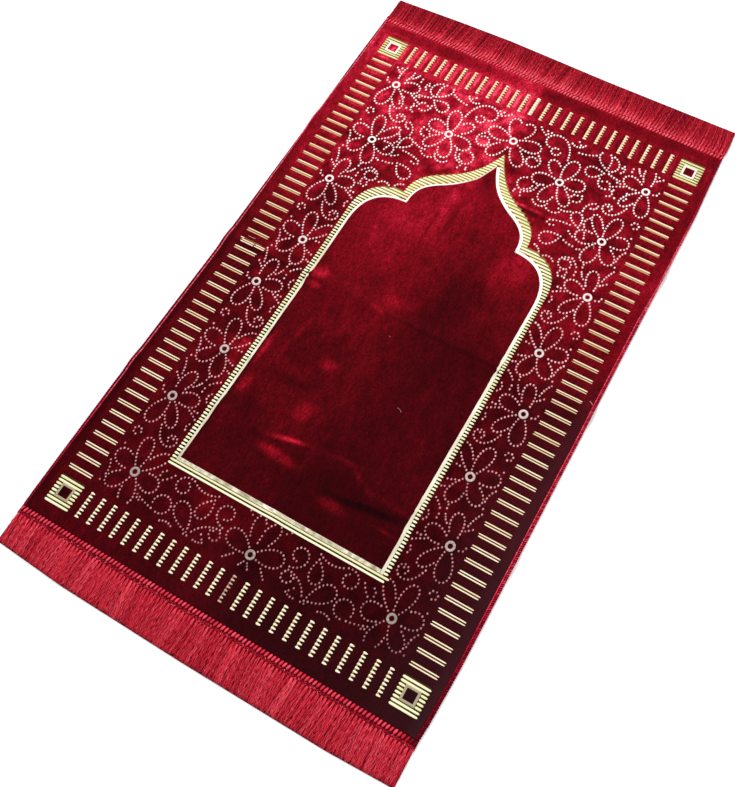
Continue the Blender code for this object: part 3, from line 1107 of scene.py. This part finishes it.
TOP_TENDRILS = (
    (0, 951, 90, 34, 0, 1),
    (43, 931, -12, 92, -400, 1.4),
    (80, 868, -93, 117, -440, 1.25),
    (49, 846, -100, 9, 0, 1),
    (57, 847, -70, 14, 0, 1),
    (103, 938, 98, 113, 252, 2),
    (84, 952, -95, 46, -330, 1.1),
    (30, 989, -55, 19, 30, 1),
    (41, 976, 74, 11, 0, 1),
    (42, 976, 34, 14, 20, 1),
    (118, 994, -90, 33, -130, 1),
    (104, 992, -50, 8, 0, 1),
    (113, 969, 4, 38, 34, 1),
    (173, 991, -20, 64, -215, 1.2),
    (187, 975, 0, 7, 0, 1),
    (173, 954, -26, 34, 28, 1),
    (214, 941, 202, 78, 295, 1.3),
    (169, 941, -106, 60, 290, 1.5),
    (178, 934, 212, 9, 0, 1),
    (153, 890, -45, 56, -330, 1.4),
    (184, 882, 204, 48, 122, 1),
    (190, 879, -84, 16, -95, 1),
    (132, 842, -14, 22, 50, 1),
    (85, 837, -60, 34, 140, 1),
    (109, 836, -55, 44, 150, 1),
    (129, 812, 25, 36, -26, 1),
    (127, 806, -50, 14, 90, 1),
    (181, 838, -58, 36, -16, 1),
    (193, 852, 200, 16, 60, 1),
    (167, 806, -52, 50, 66, 0.6),
    (162, 789, -42, 44, 58, 0.6),
    (206, 753, 140, 100, 470, 1.3),
    (191, 736, -12, 60, -400, 1.3),
    (128, 755, -10, 16, -55, 1),
    (150, 741, 42, 22, -98, 1),
)
FOOT_FLOWERS = ((0, 58),)
FOOT_PETALS = (
    (0, 58, 19, 51, 27),
    (0, 58, 75, 61, 21),
    (92, 102, -73, 37, 21),
    (103, 40, 46, 49, 26),
)
FOOT_TENDRILS = (
    (0, 78, 90, 30, 0, 1),
    (20, 52, -46, 22, 0, 1),
    (3, 45, -60, 9, 0, 1),
    (30, 111, 42, 8, 0, 1),
    (53, 71, 5, 93, 360, 1.5),
    (90, 110, -32, 41, 60, 1),
    (130, 110, 24, 84, -360, 1.4),
    (167, 105, -62, 20, 24, 1),
    (183, 105, -24, 26, -172, 1),
    (128, 36, 30, 21, -66, 1),
    (60, 67, -4, 45, -62, 1.2),
    (73, 60, -92, 50, -325, 1.2),
    (76, 42, 50, 8, 0, 1),
    (73, 38, -34, 15, 44, 1),
    (161, 43, 186, 74, -292, 1),
    (164, 44, 6, 38, 16, 1),
    (99, 36, 0, 6, 0, 1),
)


def spaced(path, spacing):
    """Points at even distances along a path."""
    step = np.linalg.norm(np.diff(path, axis=0), axis=1)
    reach = np.concatenate([[0.0], np.cumsum(step)])
    count = max(2, int(round(reach[-1] / spacing)) + 1)
    at = np.linspace(0.0, reach[-1], count)
    return np.stack([np.interp(at, reach, path[:, 0]), np.interp(at, reach, path[:, 1])], -1)


def petal_path(x, y, heading, length, width):
    """A teardrop loop: out by (1 - cos) / 2 of its length, aside by sin and the root of the same."""
    u = np.linspace(0.0, 2 * math.pi, 90)
    out = (1 - np.cos(u)) / 2
    aside = np.sin(u) * np.sqrt(out) * 0.5 * width * 1.3
    a = math.radians(heading)
    return np.stack([x + out * length * math.cos(a) - aside * math.sin(a),
                     y + out * length * math.sin(a) + aside * math.cos(a)], -1)


def tendril_path(x, y, heading, length, turn, gather):
    """A bending line: its heading grows by the turn times its share of the length to the gather."""
    share = np.linspace(0.0, 1.0, 120)
    a = np.radians(heading + turn * share**gather)
    step = length / (len(share) - 1)
    run = np.cumsum(np.stack([np.cos(a), np.sin(a)], -1)[:-1] * step, axis=0)
    return np.array([x, y]) + np.concatenate([[[0.0, 0.0]], run])


def vine_layout():
    """The flowers and every dot of the vine, without dots that would touch or leave its border."""
    flowers, dots = [], []
    charts = [(SIDE_FLOWERS, SIDE_PETALS, SIDE_TENDRILS, FIRST_FLOWER + REPEAT * k) for k in range(4)]
    charts += [(TOP_FLOWERS, TOP_PETALS, TOP_TENDRILS, 0.0), (FOOT_FLOWERS, FOOT_PETALS, FOOT_TENDRILS, 0.0)]
    for rings, petals, tendrils, start in charts:
        lift = np.array([0.0, start])
        flowers.extend(np.array(rings, float) + lift)
        dots.extend(spaced(petal_path(*row), DOT_SPACING)[:-1] + lift for row in petals)
        dots.extend(spaced(tendril_path(*row), DOT_SPACING) + lift for row in tendrils)
    flowers = np.array(flowers)
    dots = np.concatenate(dots)
    dots = dots[dots[:, 0] > -1.0]
    dots = np.concatenate([dots, dots * [-1, 1]])
    flowers = np.unique(np.concatenate([flowers, flowers * [-1, 1]]), axis=0)
    outer = half_outline(ARCH_FOOT, ARCH_HALF, ARCH_OUTER)
    arch_reach = half_width(outer, dots[:, 1] - 2) + DOT_TO_ARCH
    inside = (dots[:, 1] > ARCH_FOOT - 3) & (np.abs(dots[:, 0]) < arch_reach)
    in_frame = (np.abs(dots[:, 0]) < VINE_SIDE) & (dots[:, 1] > VINE_NEAR) & (dots[:, 1] < VINE_FAR)
    to_ring = np.linalg.norm(dots[:, None] - flowers[None], axis=-1).min(axis=1)
    dots = dots[~inside & in_frame & (to_ring > RING_OUTER + DOT_TO_RING)]
    apart = np.linalg.norm(dots[:, None] - dots[None], axis=-1)
    earlier = np.tril(apart < DOTS_APART, -1)
    keep = np.ones(len(dots), bool)
    for i in np.flatnonzero(earlier.any(axis=1)):
        keep[i] = not (earlier[i] & keep).any()
    return flowers, dots[keep]


def silver_gleam(across, along):
    """Silver looks white at the far end and greyer towards the near one, most of all on the right: a painted
    reflection.
    """
    far = along / 1000.0
    return np.clip(0.30 + 0.70 * far - 0.10 * (1.0 - far) * across / 250.0, 0.0, 1.0)


def dot_domes(places, rng):
    """Low domes: an oval of eight points at the pile and a smaller one above it."""
    size = rng.uniform(0.90, 1.12, len(places))[:, None] * (0.96 + 0.22 * places[:, 1:] / 1000.0)
    x, y = chart_to_rug(places[:, :1], places[:, 1:])
    angle = round_corners(8)
    rings = []
    for share, height in ((1.0, -0.0003), (0.62, DOT_CROWN)):
        px = x + 0.5 * DOT_WIDTH * MM * share * size * np.cos(angle)
        py = y + 0.5 * DOT_LENGTH * MM * share * size * np.sin(angle)
        rings.append(np.stack([px, py, pile_top(x, y) + np.full_like(px, height)], -1))
    # Painted reflection: dots paler towards the far end, each with its own random tone.
    tone = silver_gleam(*places.T) + rng.uniform(-0.14, 0.12, len(places))
    domes = np.stack(rings, 1)
    return domes, spread(np.clip(tone, 0.0, 1.0), domes)


def flat_rings(places, outer, hole, squareness, crown):
    """Flat rings: the thread section carried round a circle, or round a square where squareness is 1.

    A square's radius is a circle's over the larger of |cos| and |sin| of the angle.
    """
    steps = 32
    angle = np.linspace(0.0, 2 * math.pi, steps, endpoint=False) + math.pi / 4
    corner = 1.0 / np.maximum(np.abs(np.cos(angle)), np.abs(np.sin(angle)))
    reach = 1.0 + squareness * (corner - 1.0)
    x, y = chart_to_rug(places[:, 0], places[:, 1])
    radius = ((outer + hole) / 2 + (outer - hole) / 2 * THREAD_SECTION[:, 0]) * MM
    px = x[:, None, None] + radius * (reach * np.cos(angle))[:, None]
    py = y[:, None, None] + (1.06 - 0.06 * squareness) * radius * (reach * np.sin(angle))[:, None]
    points = np.stack([px, py, pile_top(px, py) - 0.0002 + crown * THREAD_SECTION[:, 1]], -1)
    count, _, corners, _ = points.shape
    quads = grid_faces(steps + 1, corners, wrap=True) % (steps * corners)
    faces = (np.arange(count)[:, None, None] * steps * corners + quads).reshape(-1, 4)
    return points, faces


def ribbon(line, low, high, crown, sink=0.0002):
    """A flat thread line carried along a line on the chart, from low to high millimetres beside it."""
    side = outward(line)
    low, high = (np.broadcast_to(edge, len(line))[:, None] for edge in (low, high))
    middle = line + side * (low + high) / 2
    half = (high - low) / 2 * MM
    x, y = chart_to_rug(middle[:, 0], middle[:, 1])
    xs = x[:, None] + side[:, :1] * half * THREAD_SECTION[:, 0]
    ys = y[:, None] + side[:, 1:] * half * THREAD_SECTION[:, 0]
    zs = pile_top(xs, ys) - sink + crown * THREAD_SECTION[:, 1]
    return np.stack([xs, ys, zs], -1)[None]


def silver_arch_lines():
    """The pale line round the arch's inner edge, in two halves, whiter on the right."""
    inner = half_outline(INNER_FOOT, INNER_HALF, ARCH_INNER)
    foot = np.array([(INNER_HALF, y) for y in np.linspace(ARCH_FOOT + 8.0, INNER_FOOT, 4)[:-1]])
    line = np.concatenate([foot, inner])
    line = line[np.concatenate([[True], np.linalg.norm(np.diff(line, axis=0), axis=1) > 0.2])]
    for name, side, lift in (("silver_arch_right", 1, 0.72), ("silver_arch_left", -1, 0.66)):
        half = line * [side, 1]
        wide = side * silver_width(side, half[:, 1])
        sections = ribbon(half, np.minimum(wide, 0.0), np.maximum(wide, 0.0), 0.0006)
        worn = (side < 0) * rise(half[:, 1], *WORN_FROM)
        past_foot = rise(half[:, 1], 230.0, 14.0)
        # Painted reflection: the lines are paler past the foot and most of all towards the point.
        tone = lift + 0.06 * past_foot + 0.26 * np.clip((half[:, 1] - 560.0) / 160.0, 0.0, 1.0)
        tone = tone - 0.20 * hump(half[:, 1] - 194.0, 5.0) - 0.28 * worn
        blotch = 0.12 * drift(half[:, 0], half[:, 1], 9.0, 35)
        yield name, sections, np.broadcast_to((tone + blotch)[None, :, None], sections.shape[:3])


def silver_foot():
    """The mottled pale band along the arch's foot."""
    rows = np.array([129.4, 132.4])
    bars = weft_bars(np.full(2, -INNER_HALF - 3), np.full(2, INNER_HALF + 3), rows, 4.4, 0.0005, 120)
    across, along = bars[..., 0] / MM, bars[..., 1] / MM
    blotch = drift(across, along, 4.0, 33) + 0.5 * drift(across, along, 12.0, 34)
    return bars, np.clip(0.62 + 0.28 * blotch, 0.0, 0.95)


def stray_threads():
    """Loose pale threads on the pile: short thin curves."""
    for k, (start, bend, end, tone) in enumerate(STRAY_THREADS):
        line = bezier((start, bend, bend, end), 12)
        yield f"stray_thread_{k}", ribbon(line, -0.45, 0.45, 0.0006, 0.0), tone


def silver_pieces():
    rng = np.random.default_rng(31)
    silver = toned_material("silver_vine", SILVER_STOPS, (900.0, (1.0, 1.0, 1.0), 0.3), 0.5)
    line = toned_material("silver_line", PALE_STOPS, (700.0, (1.0, 1.0, 1.0), 0.25), 0.5)
    flowers, dots = vine_layout()
    domes, tone = dot_domes(dots, rng)
    new_piece("silver_dots", *tubes(domes), silver, "silver_thread", tone)
    points, faces = flat_rings(flowers, RING_OUTER, RING_HOLE, 0.0, 0.0007)
    pale_ring = toned_material("silver_ring", RING_STOPS, (420.0, (1.0, 1.0, 1.0), 0.6), 0.5)
    # Painted reflection: the rings are paler towards the far end.
    tone = spread(0.46 + 0.48 * np.clip(flowers[:, 1] / 800.0, 0.0, 1.0), points)
    new_piece("silver_flower_rings", points, faces, pale_ring, "silver_thread", tone)
    squares = [(x, y) for x in (-SQUARE_ACROSS, SQUARE_ACROSS) for y in (NEAR_SQUARES, FAR_SQUARES)]
    squares = np.array(squares) + [0.0, 1.0]
    points, faces = flat_rings(squares, RING_SQUARE, RING_SQUARE_HOLE, 1.0, 0.0007)
    # Painted reflection: the square rings are paler at the far end.
    tone = spread(0.42 + 0.46 * (squares[:, 1] > 500.0), points)
    new_piece("silver_square_rings", points, faces, line, "silver_thread", tone)
    for name, sections, tone in silver_arch_lines():
        new_piece(name, *tubes(sections), line, "silver_thread", tone)
    bars, tone = silver_foot()
    new_piece("silver_arch_foot", *tubes(bars), line, "silver_thread", tone)
    for name, sections, tone in stray_threads():
        new_piece(name, *tubes(sections), silver, "silver_thread", spread([tone], sections))


# ---------------------------------------------------------------- bound edges

EDGE_STITCH_PITCH = 0.0036
BEAD_PITCH = 0.0029


def edge_stitches(side, rng):
    """Slanting threads side by side over the bound edge.

    A stitch is an oval thread carried over a half circle, from its foot on the cloth to its foot at
    the floor, and leaning along the edge by its pitch.
    """
    count = int((CLOTH_FAR - CLOTH_NEAR) / EDGE_STITCH_PITCH)
    along = CLOTH_NEAR + (np.arange(count) + 0.5) * (CLOTH_FAR - CLOTH_NEAR) / count
    over = np.linspace(-0.12, 1.08, 7)
    corner = round_corners(5)
    y = along[:, None] + EDGE_STITCH_PITCH * 1.2 * (over - 0.5)
    outer = side_edge(side, y)
    arc = math.pi * over
    middle = 0.5 * np.maximum(bead_line(side, y) - 0.0006, 0.0022)
    x = outer - side * (middle + (middle - 0.0007) * np.cos(arc))
    z = cloth_lift(outer, y) + 0.0012 + (BINDING_HEIGHT - 0.0020) * np.maximum(np.sin(arc), -0.2)
    thick = 0.00100 * rng.uniform(0.85, 1.1, (count, 1, 1))
    ys = y[..., None] + 1.3 * thick * np.cos(corner)
    xs = x[..., None] - side * np.cos(arc)[None, :, None] * thick * np.sin(corner)
    zs = z[..., None] + np.sin(arc)[None, :, None] * thick * np.sin(corner)
    stitches = np.stack([xs, ys, np.maximum(zs, 0.0001)], -1)[:, :, ::side]
    gleam = FOLD_GLEAM * hump(chart_along(along) - FOLD_GLEAM_AT, FOLD_GLEAM_REACH)
    tone = edge_tone(STITCH_TONES[side], along) + gleam + rng.uniform(-0.18, 0.18, count)
    return stitches, spread(np.clip(tone, 0.05, 1.0), stitches)


def edge_beads(side, rng):
    """The needle thread's beads in a row beside the stitches: small closed ovals."""
    count = int((CLOTH_FAR - CLOTH_NEAR) / BEAD_PITCH)
    along = CLOTH_NEAR + (np.arange(count) + 0.5) * (CLOTH_FAR - CLOTH_NEAR) / count
    share = np.linspace(0.0, 1.0, 5)
    fat = np.sqrt(np.clip(1.0 - (2 * share - 1) ** 2, 0.06, 1.0))
    y = along[:, None] + 0.95 * BEAD_PITCH * (share - 0.5)
    outer = side_edge(side, y)
    wide = 0.00125 * fat * rng.uniform(0.85, 1.1, (count, 1))
    x = outer - side * bead_line(side, y)
    z = cloth_lift(outer, y) + CLOTH_THICKNESS
    beads = upright_ovals(x, y, z, wide, 0.7 * wide, round_corners(5))[:, :, ::-1]
    tone = edge_tone(BEAD_TONES[side], along) + rng.uniform(-0.12, 0.08, count)
    return beads, spread(np.clip(tone, 0.05, 1.0), beads)


def edge_core(side):
    """The cloth's bound edge inside the thread: a low rounded section along the whole edge."""
    along = np.linspace(CLOTH_NEAR, CLOTH_FAR, 200)
    outer = side_edge(side, along)
    lift = cloth_lift(outer, along)
    angle = round_corners(12)
    half = (0.5 * (bead_line(side, along) + BEAD_TO_PILE) + 0.0003)[:, None]
    squared = np.sign(np.cos(angle)) * np.abs(np.cos(angle)) ** 0.5
    x = outer[:, None] - side * (0.0004 + half + half * squared)
    z = lift[:, None] + 0.0018 + 0.0016 * np.sin(angle)
    y = np.broadcast_to(along[:, None], x.shape)
    core = np.stack([x, y, z], -1)[None, :, ::side]
    return core, spread([0.08], core)


def bound_edges(material):
    for side, name in ((-1, "left"), (1, "right")):
        rng = np.random.default_rng(41 + side)
        for part, (sections, tone) in (
            ("stitches", edge_stitches(side, rng)),
            ("beads", edge_beads(side, rng)),
            ("core", edge_core(side)),
        ):
            new_piece(f"edge_{part}_{name}", *tubes(sections), material, "overlock", tone, f"binding_{name}")


# ---------------------------------------------------------------- fringes

HEADING_WIDTH = 0.0148
TAPE_HEIGHT = 0.0019
STITCH_PITCH = 0.0061
STITCH_LENGTH = 0.0088
STITCH_SLANT = 0.0026
STITCH_HALF = 0.0019
CHAIN_ROWS = (0.0108, 0.0134)
CHAIN_PITCH = 0.0023
CHAIN_HALF = 0.00062
CHAIN_RISE = 0.0005
NEAR_TIPS = (
    # across,   end
    (-0.3350, -0.6260),
    (-0.2150, -0.6330),
    (-0.0050, -0.6355),
    (0.2350, -0.6350),
    (0.3300, -0.6310),
)
FAR_TIPS = (
    (-0.3350, 0.6265),
    (-0.2150, 0.6325),
    (-0.1100, 0.6355),
    (0.0900, 0.6325),
    (0.3300, 0.6340),
)
STRANDS = 2600
# How far the painted shadow at the fringe tips reaches past them.
TIP_SHADOW_PAST = 0.0004
STRAND_STEPS = 10
STRAND_LOWEST = 0.00005
SWAY = 0.0040
SWAY_WAVE = 0.210


def heading_tape(end, start, left, right):
    """The flat strip under the stitches: a low box section across the rug."""
    x = np.linspace(left, right, 60)[:, None]
    out = np.array([-0.0010, -0.0010, HEADING_WIDTH, HEADING_WIDTH])
    up = np.array([0.0002, TAPE_HEIGHT, TAPE_HEIGHT, 0.0002])
    tape = np.stack(np.broadcast_arrays(x, start + end * out, up), -1)[None, :, ::-end]
    return tape, spread([0.06 if end < 0 else 0.26], tape)


def shaded_under_layer(end, start, left, right, tips):
    """The lowest threads as one thin sheet in painted shade, from under the heading to just past the tips,
    where its near-black edge is a painted shadow.
    """
    x = np.linspace(left + 0.0010, right - 0.0010, 160)[:, None]
    table = np.array(tips)
    tip = np.interp(x, table[:, 0], table[:, 1]) + end * TIP_SHADOW_PAST
    root = start + end * 0.8 * HEADING_WIDTH
    y = np.concatenate([root + 0 * tip, root + 0 * tip, tip, tip], -1)
    up = np.array([0.0002, 0.0016, 0.0007, 0.0002])
    sheet = np.stack(np.broadcast_arrays(x, y, up), -1)[None, :, ::-end]
    # Painted shade: dark red under the heading, near black at the tips and in the painted shadow past them.
    tone = np.array([0.24, 0.24, 0.01, 0.01])[::-end]
    return sheet, np.broadcast_to(tone, sheet.shape[:3])


def heading_stitches(end, start, left, right, rng):
    """A row of fat slanting stitches: ovals along the rug, each half width (1 - |2s - 1|^3)^(1/2)."""
    count = int((right - left) / STITCH_PITCH)
    middles = left + (np.arange(count) + 0.5) * (right - left) / count
    share = np.linspace(0.0, 1.0, 8)
    fat = np.sqrt(np.clip(1.0 - np.abs(2 * share - 1) ** 3.0, 0.02, 1.0))
    y = start + end * (0.0003 + STITCH_LENGTH * rng.uniform(0.92, 1.06, (count, 1)) * share)
    x = middles[:, None] + end * STITCH_SLANT * (share - 0.5) + rng.uniform(-0.0003, 0.0003, (count, 1))
    z = TAPE_HEIGHT + 0.0004 + 0.0006 * np.sin(math.pi * share)
    wide = STITCH_HALF * fat * rng.uniform(0.9, 1.08, (count, 1))
    stitches = upright_ovals(x, y, z, wide, 0.65 * wide, round_corners(8))[:, :, ::-end]
    dullest, brightest = (0.66, 0.86) if end > 0 else (0.54, 0.80)
    tone = rng.uniform(dullest, brightest, count)
    if end < 0:
        tone[-4:] = (0.5, 0.35, 0.2, 0.12)
    return stitches, spread(tone, stitches)


def chain_row(left, right, middle, bright, rng):
    """One row of chain stitch: short slanting threads that lean left and right by turns."""
    count = int((right - left) / CHAIN_PITCH)
    x0 = left + (np.arange(count) + 0.5) * (right - left) / count
    lean = np.where(np.arange(count) % 2 == 0, 1.0, -0.6)[:, None]
    share = np.linspace(-0.5, 0.5, 4)
    x = x0[:, None] + 0.0016 * lean * share + rng.uniform(-0.0002, 0.0002, (count, 1))
    y = middle + 0.0026 * share + rng.uniform(-0.0002, 0.0002, (count, 1))
    z = TAPE_HEIGHT + 0.0004 + 0.0004 * np.cos(math.pi * share) + rng.uniform(0, 0.0002, (count, 1))
    chain = upright_ovals(x, y, z, CHAIN_HALF, CHAIN_RISE, round_corners(5))[:, :, ::-1]
    glint = rng.uniform(0.0, 1.0, count) > 0.94
    return chain, spread(np.where(glint, 0.92, bright + rng.uniform(0.0, 0.4, count)), chain)


def fringe_strands(end, start, left, right, tips, pull_in, rng):
    """The loose threads: three-sided strands from the heading to the combed tips.

    Across, a strand starts drawn in to its bunch by (1 - s)^6 of its length's share s, then leans
    and sways with its bunch and wanders by itself. Along, it runs straight to its tip. Its height
    falls from the heading to its layer. Low strands are thick and darkened with painted shade, and high
    ones fine and light.
    """
    s = np.linspace(0.0, 1.0, STRAND_STEPS + 1)[None, :]
    place = (np.arange(STRANDS) + rng.uniform(0.0, 1.0, STRANDS)) / STRANDS
    root = (left + place * (right - left))[:, None]
    layer = (rng.permutation(STRANDS) / (STRANDS - 1.0))[:, None]
    bunches = int((right - left) / STITCH_PITCH)
    bunch = np.minimum((place * bunches).astype(int), bunches - 1)
    bunch_x = (left + (bunch + 0.5) * (right - left) / bunches)[:, None]
    bunch_lean = rng.normal(0.0, 0.0005, bunches)[bunch][:, None]
    own_lean = rng.normal(0.0, 0.0027 if end > 0 else 0.0036, (STRANDS, 1)) * (0.3 + 0.7 * layer)
    phase = rng.uniform(0.0, 2 * math.pi, (STRANDS, 1))
    table = np.array(tips)
    tip = np.interp(root, table[:, 0], table[:, 1]) - end * 0.0026 * rng.uniform(0, 1, (STRANDS, 1)) ** 2
    x = root + 0.75 * np.sqrt(layer) * (bunch_x - root) * (1 - s) ** 6 + (bunch_lean + own_lean) * s
    x = x + (0.0030 if end > 0 else 0.0) * (1 - np.exp(-s / 0.15))
    sway = SWAY * np.sin(2 * math.pi * root / SWAY_WAVE + end) * s**1.5
    x = x + sway - pull_in * np.maximum(root / right, 0.0) * s
    curl = rng.uniform(16.0, 30.0, (STRANDS, 1))
    x = x + (0.0011 if end > 0 else 0.0017) * layer * np.sin(curl * s + phase) * np.sqrt(s)
    y = start + (tip - start) * s
    arch = 0.55 + 0.45 * np.sin(math.pi * np.minimum(1.1 * s, 1.0))
    z = TAPE_HEIGHT * (1 - s) ** 2 + (0.0005 + 0.0026 * layer) * arch
    thick = (0.00072 - 0.00030 * np.sqrt(layer)) * rng.uniform(0.85, 1.2, (STRANDS, 1)) * (1.0 - 0.25 * s)
    strands = upright_ovals(x, y, z, thick, thick, np.radians([102.0, 222.0, 342.0]))[:, :, ::-end]
    strands[..., 2] = np.maximum(strands[..., 2], STRAND_LOWEST)
    # Painted shade: the lower a strand lies, the darker its tone.
    tone = (0.12 if end > 0 else 0.17) + 0.56 * layer[:, 0]
    tone = tone + rng.normal(0.0, 0.08, STRANDS) + rng.normal(0, 0.05, bunches)[bunch]
    glints = 0.17 * np.sin(1.3 * curl * s + 2.0 * phase + 1.0) + 0.08 * np.sin(41.0 * s + 5.0 * phase)
    return strands, tone[:, None] + glints, root, bunch_x


def fringes(material):
    for end, cloth_end, tips, pull_in, name in (
        (-1, CLOTH_NEAR, NEAR_TIPS, 0.0040, "near"),
        (1, CLOTH_FAR, FAR_TIPS, 0.0012, "far"),
    ):
        start = cloth_end + end * GAP
        left, right = float(side_edge(-1, start)), float(side_edge(1, start))
        rng = np.random.default_rng(61 + end)
        chain_tone = 0.22 if end < 0 else 0.42
        chains = [chain_row(left, right, start + end * out, chain_tone, rng) for out in CHAIN_ROWS]
        parts = [
            ("tape", heading_tape(end, start, left, right)),
            # The under sheet is painted shade beneath the strands and a painted shadow past their tips.
            ("under", shaded_under_layer(end, start, left, right, tips)),
            ("stitches", heading_stitches(end, start, left, right, rng)),
            ("chains", [np.concatenate(pair) for pair in zip(*chains)]),
        ]
        root_y = start + end * (HEADING_WIDTH - 0.0008 if end < 0 else 0.0078)
        strands, tone, root, bunch_x = fringe_strands(end, root_y, left + 0.0008, right - 0.0008, tips,
                                                      pull_in, rng)
        # At the far end, a painted highlight near the heading and on each bunch's ridge, and painted shade
        # between the bunches.
        if end > 0:
            ridge_highlight = 0.5 + 0.5 * np.cos(2 * math.pi * (root - bunch_x) / STITCH_PITCH)
            share = np.linspace(0.0, 1.0, tone.shape[1])
            lit = 1.45 * np.exp(-share / 0.18) * (1.0 - 0.75 * np.abs(root / right) ** 2.5)
            tone = tone * (0.97 + 0.08 * root / right) * (0.66 + 0.44 * ridge_highlight) * (0.80 + lit)
        tone = np.broadcast_to(np.clip(tone, 0.0, 0.95)[..., None], strands.shape[:3])
        parts.append(("strands", (strands, tone)))
        for part, (sections, part_tone) in parts:
            new_piece(f"fringe_{part}_{name}", *tubes(sections), material, "fringe_yarn", part_tone,
                      f"fringe_{name}", smooth=part not in ("tape", "under"))


# ---------------------------------------------------------------- floor, light, camera

CAMERA_PLACE = (0.3465, -0.6833, 1.3680)
CAMERA_HEADING = -31.268
CAMERA_ELEVATION = 65.239
CAMERA_ROLL = -1.602
CAMERA_LENS = 43.3


def stage():
    """A near-white floor, even sky light, and one large soft lamp beyond the far left corner."""
    bpy.ops.mesh.primitive_plane_add(size=12.0)
    floor = bpy.context.object
    floor.name = "floor"
    floor.location.z = -0.0002
    material, nodes, links, shader = new_material("pale_floor")
    greys = ((0.0, (0.94, 0.94, 0.94)), (1.0, (0.95, 0.95, 0.95)))
    shade = ramp(nodes, links, noise(nodes, links, 3.0), greys)
    links.new(shade, shader.inputs["Base Color"])
    shader.inputs["Roughness"].default_value = 0.9
    floor.data.materials.append(material)

    world = bpy.data.worlds.new("studio")
    bpy.context.scene.world = world
    world.use_nodes = True
    sky = world.node_tree.nodes["Background"]
    sky.inputs["Color"].default_value = (1.0, 1.0, 1.0, 1.0)
    sky.inputs["Strength"].default_value = 0.62

    lamp("key", (-1.3, 2.0, 2.2), (0.0, 0.1, 0.0), 1.4, 78.0)
    lamp("fill", (1.4, -1.2, 2.4), (0.0, 0.0, 0.0), 1.6, 26.0)


def lamp(name, place, target, size, power):
    light = bpy.data.lights.new(name, "AREA")
    light.shape = "DISK"
    light.size = size
    light.energy = power
    obj = bpy.data.objects.new(name, light)
    bpy.context.scene.collection.objects.link(obj)
    aim = np.array(target) - np.array(place)
    obj.location = place
    obj.rotation_euler = (
        math.acos(-aim[2] / np.linalg.norm(aim)),
        0.0,
        math.atan2(aim[1], aim[0]) - math.pi / 2,
    )


def camera():
    """The photograph's view: from above the near right corner, looking down towards the far left."""
    data = bpy.data.cameras.new("camera")
    data.lens = CAMERA_LENS
    data.sensor_width = 36.0
    obj = bpy.data.objects.new("camera", data)
    bpy.context.scene.collection.objects.link(obj)
    turn = Matrix.Rotation(math.radians(-CAMERA_HEADING), 4, "Z")
    tilt = Matrix.Rotation(math.radians(90.0 - CAMERA_ELEVATION), 4, "X")
    roll = Matrix.Rotation(math.radians(CAMERA_ROLL), 4, "Z")
    obj.matrix_world = Matrix.Translation(CAMERA_PLACE) @ turn @ tilt @ roll
    bpy.context.scene.camera = obj


# ---------------------------------------------------------------- the rug


def build():
    stage()
    camera()
    cloth = pile_cloth(pile_material())
    gold_pieces()
    silver_pieces()
    bound_edges(toned_material("overlock_thread", BINDING_STOPS, (1100.0, (1.0, 0.3, 1.0), 0.3), 0.7, 0.02))
    fringes(toned_material("fringe_yarn", FRINGE_STOPS, (1100.0, (1.0, 0.2, 1.0), 0.25), 0.7, 0.02))
    bpy.context.scene.view_settings.view_transform = "Standard"


build()
